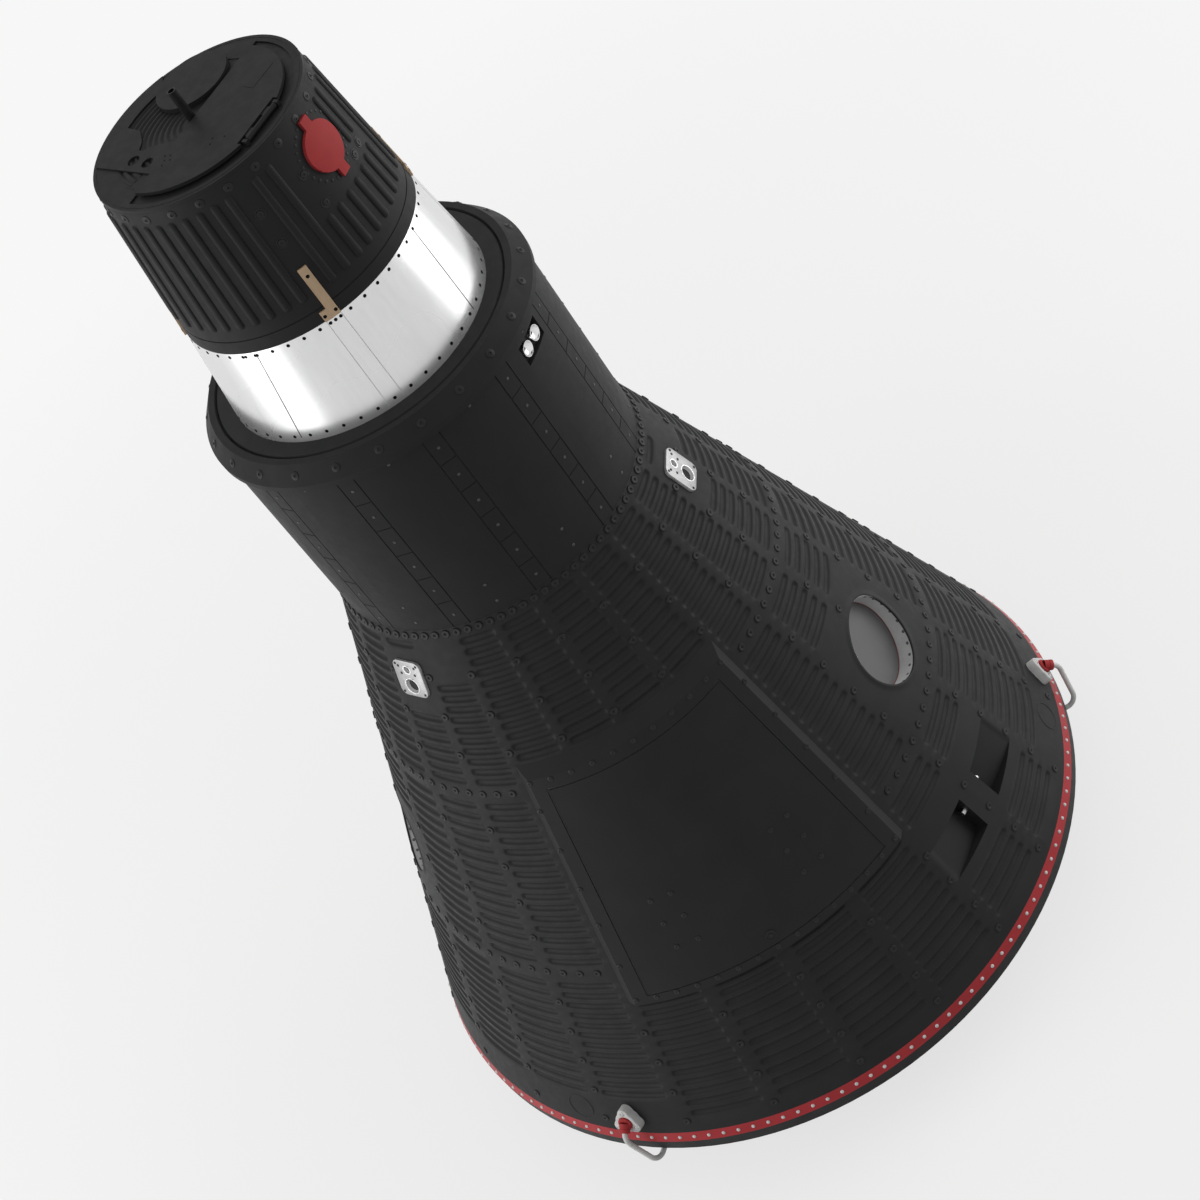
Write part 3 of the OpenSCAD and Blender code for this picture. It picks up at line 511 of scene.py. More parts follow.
def column_offsets(h):
    """Azimuths of a column's grid lines about its middle: dense at the beads' round ends."""
    r = CONE.radius(h)
    ends = [BEAD_HALF_AZ - math.degrees(m / r) for m in (-1.2, 0.6, 2.6, 5.5, 10.0)]
    half = [COLUMN_HALF, *ends, ends[-1] * 0.66, ends[-1] * 0.33]
    return np.array([-x for x in half] + [0.0] + half[::-1])


def cone_heights(band):
    lo, hi = BANDS[band]
    slope = math.cos(CONE.lean)
    hs = {lo, hi}
    for hk in ROWS[band]:
        for m in (-10.4, -8.9, -5.8, 0.0, 5.8, 8.9, 10.4):
            hs.add(hk + m * slope)
    if band == "lower":
        for e in (-1, 1):
            edge = SCOOP_H + e * SCOOP_W / 2 * slope
            hs |= {edge - 0.15, edge + 0.15}
    return sorted(x for x in hs if lo <= x <= hi)


def in_window(az, h, reach=0.0):
    hit = np.zeros(len(az), bool)
    for w in WINDOWS.values():
        x = np.radians(wrapped(az - w)) * CONE.radius(h)
        y = (h - WINDOW_H) / math.cos(CONE.lean)
        hit |= np.hypot(x, y) < WINDOW_R + reach
    return hit


WINDOW_BLOCK_AZ, WINDOW_BLOCK_H = 13.0, (520.0, 790.0)


def keep_cone(az, h):
    """The shingles leave out what the hatch frame covers and each porthole's block."""
    under_frame = (np.abs(wrapped(az + 90)) < FRAME_HALF - 1.5) & (h > FRAME_LO + 12) & (h < FRAME_HI - 16)
    lo, hi = WINDOW_BLOCK_H
    hole = np.zeros(len(az), bool)
    for w in WINDOWS.values():
        hole |= (np.abs(wrapped(az - w)) < WINDOW_BLOCK_AZ) & (h > lo) & (h < hi)
    return ~under_frame & ~hole


def scoop_in(middle):
    """How far a scoop is from the middle of its column, in degrees, or None."""
    for pair in SCOOP_AZ:
        for e in (-1, 1):
            where = wrapped(pair + e * SCOOP_HALF_GAP - middle)
            if abs(where) < COLUMN_HALF:
                return where


def cone_panel(band, side):
    """A quarter of a band of shingles, with the same number of grid lines at every height."""
    lo_az = SIDES[side]
    hs = cone_heights(band)
    if band == "middle":
        hs = sorted(set(hs) | set(WINDOW_BLOCK_H))
    slope = math.cos(CONE.lean)
    s_lo, s_hi = SCOOP_H - SCOOP_W / 2 * slope - 0.16, SCOOP_H + SCOOP_W / 2 * slope + 0.16
    cuts = []
    if band == "middle":
        cuts = [w + s * WINDOW_BLOCK_AZ for w in WINDOWS.values() for s in (-1, 1)]
    table = []
    for h in hs:
        row = []
        for c in COLUMNS:
            middle = c + REFERENCE_AZ
            scoop = scoop_in(middle) if band == "lower" and s_lo < h < s_hi else None
            if scoop is None:
                offsets = column_offsets(h)
            else:
                e = math.degrees(SCOOP_L / 2 / CONE.radius(SCOOP_H))
                inner = np.linspace(scoop - e + 0.015, scoop + e - 0.015, 13)
                offsets = np.array([-COLUMN_HALF, scoop - e - 0.015, *inner, scoop + e + 0.015, COLUMN_HALF])
            row.append(wrapped(middle + offsets[:-1] - lo_az + 1e-7) % 360)
        line = np.sort(np.concatenate(row))
        table.append(line[(line > 1e-3) & (line < 90 - 1e-3)])
    az = np.array([np.concatenate([[0.0], x, [90.0]]) for x in table]) + lo_az
    for c in cuts:
        rel = (c - lo_az) % 360
        if 0.5 < rel < 89.5:
            j = int(np.argmin(np.abs(az[len(az) // 2] - lo_az - rel)))
            az[:, j] = lo_az + rel
            az = np.sort(az, axis=1)
    field(
        f"{band}_{side}_shingles", CONE, az, hs, bead_depth(band), [shingle], keep=keep_cone,
        sharp=62, replaces=[f"{band}_{side}_wall"], slot="shingle",
    )


for band in BANDS:
    for side in SIDES:
        cone_panel(band, side)

LINER_FOOT, LINER_TOP, FRAME_OPENING_INSET = 4.0, CONE_H - 30.0, 16.0


def keep_liner(az, h):
    """The inside of the wall, open behind the hatch and at both portholes."""
    behind_hatch = (
        (np.abs(wrapped(az + 90)) < FRAME_HALF - 1.5)
        & (h > FRAME_LO + FRAME_OPENING_INSET) & (h < FRAME_HI - FRAME_OPENING_INSET)
    )
    return ~behind_hatch & ~in_window(az, h, 8.0)


def cabin_liner():
    """The pale inner face of the wall, seen through the open hatch."""
    field(
        "cabin_liner", CONE, np.linspace(-180, 180, 241), np.linspace(LINER_FOOT, LINER_TOP, 121),
        lambda az, h: np.full_like(az, WALL_T), [cabin_paint], keep=keep_liner,
        sharp=0, slot="cabin_paint",
    )


cabin_liner()

# ---- rows, bolts and skins above the cone --------------------------------------------
def theta_az(theta):
    """Azimuth of an angle counted from the reference meridian."""
    return REFERENCE_AZ + theta


def screws(name, surf, template, spots, material, out=0.0, **kw):
    """One mesh of the same small fastener at many places on a surface."""
    b = Builder()
    for az, h in spots:
        b.add(*template, matrix=surf.frame(az, h, out))
    return b.make(name, [material], sharp=38, **kw)


def blocked(az, h, reach=14.0):
    """True where the frame, a window, a plate or a scoop takes the skin's place."""
    r = CONE.radius(h)
    near = lambda a: math.radians(wrapped(az - a)) * r
    if abs(near(-90)) < math.radians(FRAME_HALF) * r + 6 and FRAME_LO - 8 < h < FRAME_HI + 8:
        return True
    if any(math.hypot(near(w), h - WINDOW_H) < WINDOW_R + reach for w in WINDOWS.values()):
        return True
    half_w, half_h = PLATE_W / 2 + reach, PLATE_H / 2 + reach
    if any(abs(near(a)) < half_w and abs(h - THRUSTER_H) < half_h for a in THRUSTER_AZ):
        return True
    for pair in SCOOP_AZ:
        for e in (-1, 1):
            x = near(pair + e * SCOOP_HALF_GAP)
            if abs(x) < SCOOP_L / 2 + 8 and abs(h - SCOOP_H) < SCOOP_W / 2 + 8:
                return True
    return any(math.hypot(near(a), h - UMBILICAL_H) < 52 for a in UMBILICAL_AZ)


MERIDIAN_Z = (1.312, 1.2075, 1.104, 0.898, 0.794, 0.691, 0.589, 0.396, 0.306, 0.216, 0.1235, 0.034)
spots = [(theta_az(-6.5 + 15 * n), FIT * z) for n in range(24) for z in MERIDIAN_Z]
spots += [(theta_az(-6.5 + 4.2857 * n), FIT * 1.0) for n in range(84)]
spots += [(theta_az(-6.5 + 3.75 * n), FIT * 0.4887) for n in range(96)]
spots += [(theta_az(-6.5 + 4.0 * n), FIT * 1.421) for n in range(90)]
screws("shingle_bolts", CONE, BOLT, [s for s in spots if not blocked(*s)], bolt_paint, slot="shingle")

frame_spots = [(-33.75 + 5.445 * k, 1.031) for k in range(11)]
frame_spots += [(-6.5 + 3.95 * k, 0.415) for k in range(-7, 8)]
frame_spots += [(s * e - 6.5, z) for z, e in ((0.956, 28.1), (0.847, 27.9), (0.738, 27.8), (0.634, 27.7),
                                              (0.515, 27.6)) for s in (-1, 1)]
screws("frame_bolts", CONE, SMALL_BOLT, [(theta_az(t), FIT * z) for t, z in frame_spots], bolt_paint,
       out=FRAME_RISE, slot="shingle")
hatch_spots = [(t, z - 0.008) for t in (-22, -17.7, 4.9, 9.1) for z in (0.669, 0.604, 0.536)]
screws("hatch_bolts", CONE, SMALL_BOLT, [(theta_az(t), FIT * z) for t, z in hatch_spots], bolt_paint,
       out=FRAME_RISE, body="hatch", slot="shingle")
HATCH_RING = rings(
    [(15, -0.3), (14.6, 1.8), (11.4, 1.8), (10.8, 0.4), (6.4, 0.4), (5.6, 2.2), (2.0, 2.6)], 24)
screws("hatch_round_lock", CONE, HATCH_RING, [(theta_az(-6.5), FIT * 0.449)], bolt_paint, out=FRAME_RISE,
       body="hatch", slot="shingle")


def hatch_seal():
    """Rubber strip that fills the gap round the hatch, a little below the frame's face."""
    lo, hi, half_lo, half_hi = HATCH
    lean = CONE.lean

    def outline(grow):
        a, b = lo - grow * math.cos(lean), hi + grow * math.cos(lean)
        ha = half_lo + math.degrees(grow / CONE.radius(a))
        hb = half_hi + math.degrees(grow / CONE.radius(b))
        steps = 24
        pts = [(-ha + 2 * ha * i / steps, a) for i in range(steps + 1)]
        pts += [(ha + (hb - ha) * i / steps, a + (b - a) * i / steps) for i in range(1, steps)]
        pts += [(hb - 2 * hb * i / steps, b) for i in range(steps + 1)]
        pts += [(-hb + (hb - ha) * i / steps, b + (a - b) * i / steps) for i in range(1, steps)]
        out = []
        for t, h in pts:
            r = CONE.radius(h)
            out.append((r * math.sin(math.radians(t)),
                        (FOOT_Z + h) * math.cos(lean) - r * math.cos(math.radians(t)) * math.sin(lean)))
        return out

    def on_shell(u, v, out):
        h = 700.0
        for _ in range(40):
            r = CONE.radius(h) + out / math.cos(lean)
            c = math.sqrt(r * r - u * u)
            h = (v + c * math.sin(lean)) / math.cos(lean) - FOOT_Z
        return (u * MM, -c * MM, (FOOT_Z + h) * MM)

    rows = []
    for grow, out in ((-0.2, FRAME_RISE - 7), (-0.2, FRAME_RISE - 1.6), (-1.6, FRAME_RISE - 1.0),
                      (-3.9, FRAME_RISE - 1.0), (-5.3, FRAME_RISE - 1.6), (-5.3, FRAME_RISE - 7)):
        rows.append([on_shell(u, v, out) for u, v in outline(grow)])
    n = len(rows[0])
    m = len(rows)
    faces = [(i * n + k, ((i + 1) % m) * n + k, ((i + 1) % m) * n + (k + 1) % n, i * n + (k + 1) % n)
             for i in range(m) for k in range(n)]
    make("hatch_seal", [p for row in rows for p in row], faces, [plastic], sharp=60, slot="black_plastic")


# the hatch's foot and top in mm up the cone, and half its width there in degrees
HATCH = (426.5, 1020.0, 26.0, 25.0)
hatch_seal()

# ---- window surrounds ----------------------------------------------------------------
def window_block(name, az0, count=96):
    """The skin round a porthole, from the square block's edge to the sleeve's mouth."""
    b = Builder()
    lo, hi = WINDOW_BLOCK_H
    t = np.linspace(0, 2 * math.pi, count, endpoint=False)
    rows = []
    cx, cy = np.cos(t), np.sin(t)
    scale = 1 / np.maximum(np.abs(cx), np.abs(cy))
    edge_az = az0 + WINDOW_BLOCK_AZ * cx * scale
    edge_h = WINDOW_H + np.where(cy > 0, hi - WINDOW_H, WINDOW_H - lo) * cy * scale
    for grow, out in ((-0.4, -4.0), (-0.4, 0.2), (0.4, 1.0), (7.0, 1.0), (8.2, 0.0), (22, 0.0)):
        r = WINDOW_R + grow
        h = WINDOW_H + r * cy * math.cos(CONE.lean)
        az = az0 + np.degrees(r * cx / CONE.radius(h))
        rows.append(CONE.points(az, h, out))
    mid_az, mid_h = (edge_az + az) / 2, (edge_h + h) / 2
    rows.append(CONE.points(mid_az, mid_h, 0.0))
    rows.append(CONE.points(edge_az, edge_h, 0.0))
    verts = np.concatenate(rows)
    b.add(verts, [f[::-1] for f in quads(len(rows) - 1, count)])
    b.make(name, [shingle], sharp=50, slot="shingle")


def window_fittings(name, az0):
    """Seal at the pane and the small bolts of the sleeve's wall."""
    base = CONE.frame(az0, WINDOW_H)
    b = Builder()
    seal = rings(
        [(117.9, -50.0), (117.9, -48.8), (117.5, -48.2), (116.6, -48.2), (116.2, -48.8), (116.2, -50)],
        96, closed_top=False)
    b.add(*seal, material=0, matrix=base)
    for k in range(24):
        a = math.radians(15 * k)
        m = base @ Matrix.Translation((0.1178 * math.cos(a), 0.1178 * math.sin(a), -0.014))
        m = m @ Matrix.Rotation(a, 4, "Z") @ Matrix.Rotation(math.radians(-90), 4, "Y")
        b.add(*DOT, material=1, matrix=m)
    b.make(name, [seal_red, pane_grey], sharp=40, slot="bare_metal")


for side, az0 in WINDOWS.items():
    window_block(f"{side}_window_surround", az0)
    window_fittings(f"{side}_window_fittings", az0)


# ---- thruster plates -----------------------------------------------------------------
def rounded_rect(w, h, r, n=8):
    pts = []
    for cx, cy, a0 in ((1, 1, 0), (-1, 1, 90), (-1, -1, 180), (1, -1, 270)):
        for k in range(n + 1):
            a = math.radians(a0 + 90 * k / n)
            pts.append((cx * (w / 2 - r) + r * math.cos(a), cy * (h / 2 - r) + r * math.sin(a)))
    return pts


def slab(levels, w, h, r):
    """Stacked rounded rectangles, each level an (inset, height) pair in mm, closed at both ends."""
    verts, n = [], 0
    for inset, z in levels:
        ring = rounded_rect(w - 2 * inset, h - 2 * inset, max(r - inset, 0.5))
        n = len(ring)
        verts += [(x * MM, y * MM, z * MM) for x, y in ring]
    faces = [tuple(range(n))[::-1], tuple((len(levels) - 1) * n + k for k in range(n))]
    return verts, faces + quads(len(levels) - 1, n)


def ball(radius, at, n=32):
    bm = bmesh.new()
    bmesh.ops.create_uvsphere(bm, u_segments=n, v_segments=n // 2, radius=radius * MM)
    bmesh.ops.translate(bm, verts=bm.verts, vec=Vector(at) * MM)
    verts, faces = [tuple(v.co) for v in bm.verts], [tuple(v.index for v in f.verts) for f in bm.faces]
    bm.free()
    return verts, faces


def carved(name, solid, cutters):
    """Mesh data of a solid less some balls."""
    def plain(tag, parts):
        me = bpy.data.meshes.new(tag)
        vs, fs = [], []
        for v, f in parts:
            fs += [tuple(i + len(vs) for i in q) for q in f]
            vs += list(v)
        me.from_pydata(vs, [], fs)
        return bpy.data.objects.new(tag, me)

    body, tool = plain(name, [solid]), plain(name + "_tool", cutters)
    for o in (body, tool):
        scene.collection.objects.link(o)
    m = body.modifiers.new("cut", "BOOLEAN")
    m.object, m.operation, m.solver = tool, "DIFFERENCE", "EXACT"
    deps = bpy.context.evaluated_depsgraph_get()
    me = bpy.data.meshes.new_from_object(body.evaluated_get(deps))
    out = [tuple(v.co) for v in me.vertices], [tuple(p.vertices) for p in me.polygons]
    for o in (body, tool):
        bpy.data.objects.remove(o)
    return out


def bowl_cut(mouth_r, depth, y, top):
    r = (mouth_r ** 2 + depth ** 2) / (2 * depth)
    return ball(r, (0, y, top - depth + r))


PLATE = carved(
    "plate", slab([(0, -7.9), (0, 4.2), (0.6, 5.5), (1.8, 6.0)], PLATE_W, PLATE_H, 18),
    [bowl_cut(19.5, 12.5, -20, 6.0), bowl_cut(9.5, 8, 26, 6.0)],
)
SCREW = rings([(3.6, -0.2), (3.4, 0.8), (2.6, 1.2), (0.8, 1.2)], 10)
b = Builder()
for az in THRUSTER_AZ:
    at = CONE.frame(az, THRUSTER_H)
    b.add(*PLATE, material=0, matrix=at)
    for x, y in ((-34, -40), (34, -40), (-34, 40), (34, 40), (-22, 14), (22, 14), (-26, 34), (26, 34)):
        b.add(*SCREW, material=1, matrix=at @ Matrix.Translation((x * MM, y * MM, 6 * MM)))
    for mouth, y, deep in ((19.5, -20, 12.5), (9.5, 26, 8)):
        lip = rings([(mouth + 3.2, 5.9), (mouth + 2.6, 7.2), (mouth + 0.6, 7.2), (mouth - 0.2, 5.6)], 40,
                    closed_top=False)
        b.add(*lip, material=2, matrix=at @ Matrix.Translation((0, y * MM, 0)))
b.make("thruster_plate_set", [plate_metal, plastic, polished], sharp=35, replaces=["thruster_plates"],
       slot="bare_metal")

# ---- recovery section ----------------------------------------------------------------
YAW_H, YAW_W, YAW_T, YAW_DEEP, SEAM_DEEP = 469.0, 100.0, 54.0, 14.0, 1.6
SEAMS = [-1.5 + 30 * n + e for n in range(12) for e in (-3, 3)]
TICKS = [FIT * z - CONE_H for z in (1.864, 1.777, 1.690, 1.603, 1.516)]


def recovery_lines():
    """Azimuths of the skin's grid lines: every 3 degrees, and close at seams and jet pockets."""
    mm = math.degrees(1 / RECOVERY_R)
    base = -135.0
    seams = [(theta_az(t) - base) % 360 for t in SEAMS]
    az = {x for x in np.arange(0, 360, 3.0) if all(abs(x - a) > 0.8 for a in seams)}
    for a in seams:
        az |= {a + k * mm for k in (-1.6, -0.8, 0, 0.8, 1.6)}
    for y in YAW_AZ:
        for e in (-1, 1):
            a = (y + e * YAW_W / 2 * mm - base) % 360
            az |= {a - 0.02, a + 0.02}
    line = np.array(sorted(x for x in az if 0 < x < 360) + [360.0]) + base
    return np.concatenate([[line[-1] - 360], line])


def recovery_depth(az, h):
    mm = math.degrees(1 / RECOVERY_R)
    total = np.zeros_like(az)
    theta = az - REFERENCE_AZ
    for s in SEAMS:
        d = np.abs(wrapped(theta - s)) / mm
        total = np.maximum(total, np.where(d < 0.9, SEAM_DEEP, 0))
    strap = np.abs(wrapped((theta + 1.5) * 12) / 12) < 3.0 - 1.3 * mm
    for t in TICKS:
        total = np.maximum(total, np.where((np.abs(h - t) < 0.8) & strap, SEAM_DEEP, 0))
    for y in YAW_AZ:
        inside = (np.abs(wrapped(az - y)) < YAW_W / 2 * mm) & (np.abs(h - YAW_H) < YAW_T / 2)
        total = np.where(inside, YAW_DEEP, total)
    return total


hs = {0.0, 130.0, 215.0, 300.0, 390.0, RECOVERY_H}
for t in TICKS:
    hs |= {t - 1.6, t - 0.75, t + 0.75, t + 1.6}
for e in (-1, 1):
    hs |= {YAW_H + e * YAW_T / 2 - 0.1, YAW_H + e * YAW_T / 2 + 0.1}
field("recovery_skin", CYLINDER, recovery_lines(), sorted(hs), recovery_depth, [skin], sharp=25,
      replaces=["recovery_section"], slot="upper_skin")

b = Builder()
for n in range(12):
    for z in (1.907, 1.820, 1.733, 1.647, 1.560, 1.472):
        b.add(*RIVET, matrix=CYLINDER.frame(theta_az(-1.5 + 30 * n), FIT * z - CONE_H))
    for z in (1.938, 1.521, 1.465):
        b.add(*RIVET, matrix=CYLINDER.frame(theta_az(13.5 + 30 * n), FIT * z - CONE_H))
b.make("recovery_rivets", [pale_rivet], sharp=40, slot="upper_skin")

YAW_BOWL = rings([(19, -YAW_DEEP), (19, -3.0), (18.2, -2.0), (17.0, -2.0), (16.4, -3.2), (15.2, -7.0),
                  (12.0, -10.4), (8.0, -12.2), (4.4, -12.8)], 40, closed_top=False)
# black disc closing each bowl's throat: painted shade for the dark inside the nozzle
YAW_THROAT_SHADE = rings([(4.4, -12.8), (4.2, -13.6)], 40)
b = Builder()
for az in YAW_AZ:
    for side in (-1, 1):
        at = CYLINDER.frame(az, YAW_H) @ Matrix.Translation((side * 23.5 * MM, 0, 0))
        b.add(*YAW_BOWL, material=0, matrix=at)
        b.add(*YAW_THROAT_SHADE, material=1, matrix=at)
b.make("yaw_jet_bowls", [polished, black_marks_and_hole_shade], sharp=40, replaces=["yaw_jets"], slot="bare_metal")

# ---- clamp flange and band -----------------------------------------------------------
BEVEL = Cone(FLANGE_R, FLANGE_TOP_R, FLANGE_Z + FLANGE_LIP_H, BAND_Z - FLANGE_Z - FLANGE_LIP_H)
screws("flange_bolts", BEVEL, PAD_BOLT, [(theta_az(-1 + 15 * n), 20.0) for n in range(24)], bolt_paint,
       slot="upper_skin")

dots = [(theta_az(4 + 7.5 * n), h) for n in range(48) for h in (241.0, 15.5)]
dots += [(theta_az(t), 241.0) for t in (-47, -42, -6, -1)]
screws("band_dots", BAND, DOT, dots, black_marks_and_hole_shade, slot="band_metal")


def strip(surf, a0, h0, a1, h1, width, out, steps=6):
    """A thin flat strip laid on a surface between two points."""
    t = np.linspace(0, 1, steps + 1)
    az, h = a0 + (a1 - a0) * t, h0 + (h1 - h0) * t
    mid = surf.radius((h0 + h1) / 2)
    dx, dy = math.radians(a1 - a0) * mid, (h1 - h0)
    length = math.hypot(dx, dy)
    nx, ny = -dy / length, dx / length
    rows = []
    for side, o in ((-0.5, -0.3), (-0.4, out), (0.4, out), (0.5, -0.3)):
        rows.append(surf.points(az + np.degrees(side * width * nx / mid), h + side * width * ny, o))
    return np.concatenate(rows), quads(3, len(t), closed=False)


b = Builder()
for n in range(4):
    turn = 90 * n
    b.add(*strip(BAND, theta_az(-45.5) + turn, 12, theta_az(-41.2) + turn, 243, 2.4, 0.3), material=0)
    for t in (-7, 0):
        b.add(*strip(BAND, theta_az(t) + turn, 4, theta_az(t) + turn, 246, 1.6, 0.3), material=1)
b.make("band_seams", [black_marks_and_hole_shade, white_paint], sharp=30, slot="band_metal")

# ---- antenna section -----------------------------------------------------------------
ANT0 = ANTENNA_Z - FOOT_Z
LONG = (FIT * 2.311 - ANT0, FIT * 2.592 - ANT0)
LOW = (FIT * 2.311 - ANT0, FIT * 2.424 - ANT0)
HIGH = (FIT * 2.465 - ANT0, FIT * 2.592 - ANT0)
RIBS = [(t, *LONG) for t in (-72, -63, -54.7, -47, -39.7, -32.2, -24.5, -16.8, -9.3, 5.5, 13.4, 74.5)]
RIBS += [(t, *LOW) for t in (21, 28, 35.5, 43, 50.5, 57.5, 65)]
RIBS += [(t, *HIGH) for t in (57, 64)]
RIBS += [(t, *LONG) for t in np.arange(82, 281, 7.5)
         if abs(wrapped(t - 88)) > 5 and abs(wrapped(t - 178)) > 5]
RIB_HALF_AZ, RIB_W, RIB_RISE = 1.95, 9.5, 5.5


def rib_rise(az, h):
    total = np.zeros_like(az)
    theta = az - REFERENCE_AZ
    for t, lo, hi in RIBS:
        across = wrapped(theta - t) / RIB_HALF_AZ
        along = np.maximum(np.abs(h - (lo + hi) / 2) - ((hi - lo) / 2 - RIB_W), 0) / RIB_W
        d = across ** 2 + along ** 2
        total = np.maximum(total, RIB_RISE * np.sqrt(np.clip(1 - d, 0, 1)))
    groove = np.where(np.abs(h - 33.0) < 1.2, 1.8, 0.0)
    edge = np.clip((h - (ANTENNA_H - 5)) / 5, 0, 1)
    return -total + groove + 2 * (1 - np.sqrt(1 - edge ** 2)) * 0.3


az = set()
for t, _, _ in RIBS:
    a = (theta_az(t) + 135) % 360
    for e in (-1.0, -0.97, -0.85, -0.55, 0.0, 0.55, 0.85, 0.97, 1.0):
        az.add(round(a + e * RIB_HALF_AZ, 5))
for x in np.arange(0, 360, 2.0):
    if all(abs(x - y) > 0.9 for y in az):
        az.add(x)
az_line = np.array(sorted(x for x in az if 0 <= x < 360))
az_line = np.concatenate([az_line, [az_line[0] + 360]]) - 135
hs = {0.0, 31.2, 31.9, 34.1, 34.8, ANTENNA_H}
for lo, hi in (LONG, LOW, HIGH):
    for end, s in ((lo, 1), (hi, -1)):
        hs |= {end + s * RIB_W * k for k in (0, 0.03, 0.15, 0.4, 0.7, 1.0)}
hs |= {ANTENNA_H - 5 + k for k in (0, 1.5, 2.8, 3.8, 4.5, 4.85)}
hs |= {100.0, 200.0, 250.0, 300.0}
field("antenna_skin", ANTENNA, az_line, sorted(hs), rib_rise, [skin], sharp=40,
      replaces=["antenna_section"], slot="upper_skin")
screws("antenna_bolts", ANTENNA, PAD_BOLT, [(theta_az(-6 + 15 * n), 362.0) for n in range(24)], bolt_paint,
       slot="upper_skin")
ringed = [(-2, 2.523), (-2, 2.447), (24, 2.523), (24, 2.447), (52.5, 2.447), (60.5, 2.447)]
ringed = ([(t + 90 * k, z) for k in (0, 1, 2, 3) for t, z in ringed[:2]]
          + [(t + 180 * k, z) for k in (0, 1) for t, z in ringed[2:]])
screws("antenna_ringed_bolts", ANTENNA, RINGED, [(theta_az(t), FIT * z - ANT0) for t, z in ringed],
       bolt_paint, slot="upper_skin")
dots = []
for k in range(28):
    a = 2 * math.pi * (k + 0.5) / 28
    h = SCANNER_H + SCANNER_BOLTS_R * math.sin(a)
    if h < ANTENNA_H - 22:
        dots.append((SCANNER_AZ + math.degrees(SCANNER_BOLTS_R * math.cos(a) / ANTENNA.radius(h)), h))
screws("scanner_rivets", ANTENNA, RIVET, dots, bolt_paint, slot="upper_skin")
strap_bolts = []
for az in BRACKET_AZ:
    base = az - theta_az(-2)
    for t, z in ((-2, 2.357), (-6.2, 2.262), (-1, 2.262)):
        strap_bolts.append((theta_az(t) + base, FIT * z - ANT0))
screws("strap_bolts", ANTENNA, DOT, strap_bolts, black_marks_and_hole_shade, out=5.0, slot="tan_metal")

# ---- umbilical clamps and plugs ------------------------------------------------------
CLAMP_T, PLUG_R = 26.0, 19.0


def clamp_shape(count=96):
    """Three-lobed clamp: its outline as a radius at each angle, rounded where the lobes join."""
    t = np.linspace(0, 2 * math.pi, count, endpoint=False)
    r = np.full(count, 30.0)
    for a in (90, 210, 330):
        d = t - math.radians(a)
        inside = 17 ** 2 - (25 * np.sin(d)) ** 2
        reach = np.where((inside > 0) & (np.cos(d) > 0), 25 * np.cos(d) + np.sqrt(np.maximum(inside, 0)), 0)
        r = np.maximum(r, reach)
    smooth = np.mean([np.roll(r, k) for k in (-2, -1, 0, 1, 2)], axis=0)
    verts = []
    levels = [(0, 0.3), (0, 22.5), (1.0, 24.6), (3.0, 25.8), (4.5, 26.0)]
    for inset, z in levels:
        verts += [((q - inset) * MM * math.cos(a), (q - inset) * MM * math.sin(a), z * MM)
                  for q, a in zip(smooth, t)]
    for r0, z in ((20.6, 26.0), (19.5, 25.0), (19.4, 4.0)):
        verts += [(r0 * MM * math.cos(a), r0 * MM * math.sin(a), z * MM) for a in t]
    return verts, quads(len(levels) + 2, count)


CLAMP = clamp_shape()
PLUG = rings([(PLUG_R, 1), (PLUG_R, 24), (18.2, 24.6), (18.2, 26.4), (PLUG_R, 27), (PLUG_R, 30.6),
              (17.6, 32.0), (8.0, 32.0)], 40)
ELBOW = rings([(14.5, -2), (14.5, 8), (13.4, 9), (13.4, 11), (14.5, 12), (14.5, 19.5), (13.2, 21.8),
               (9.4, 22.0), (9.0, 22.0)], 32)
for side, k in umbilicals.items():
    at = CONE.frame(UMBILICAL_AZ[k], UMBILICAL_H)
    b = Builder()
    b.add(*CLAMP, material=0, matrix=at)
    for a in (90, 210, 330):
        spot = at @ Matrix.Rotation(math.radians(a), 4, "Z") @ Matrix.Translation((0.031, 0, CLAMP_T * MM))
        b.add(*SMALL_BOLT, material=1, matrix=spot)
    b.make(f"{side}_clamp", [white_paint, plate_metal], sharp=40, replaces=["umbilical_clamps"],
           slot="white_clamp")
    b = Builder()
    b.add(*PLUG, matrix=at)
    tilt = Matrix.Rotation(CONE.lean + math.radians(30), 4, "X")
    b.add(*ELBOW, matrix=at @ Matrix.Translation((0, 0, (CLAMP_T + 4) * MM)) @ tilt)
    b.make(
        f"{side}_plug", [red_cover], sharp=40, replaces=["umbilical_plugs"], slot="red_cover")
    cable, points = cables[side]
    cable.data.materials.append(sheath)
    tuple(points[0])
    [tuple(p) for p in points]

# ---- stripe rivets -------------------------------------------------------------------
STRIPE = Cone(BASE_R, FOOT_R, STRIPE_Z, FOOT_Z - STRIPE_Z)
STUD = rings([(5.0, -0.3), (4.6, 1.4), (3.2, 2.8), (1.2, 3.3)], 12)
screws("stripe_rivets", STRIPE, STUD, [(theta_az(-6.5 + 2.5 * n), 13.5) for n in range(144)], white_paint,
       slot="red_paint")

# ---- flush covers low on the cone ----------------------------------------------------
COVER_ARC = rings([(39.2, -0.2), (38.9, 0.6), (37.4, 0.6), (37.0, -0.2)], 56, closed_top=False)
screws("flush_covers", CONE, COVER_ARC, [(theta_az(t), FIT * 0.055) for t in (-56, 63.5)], bolt_paint,
       slot="shingle")

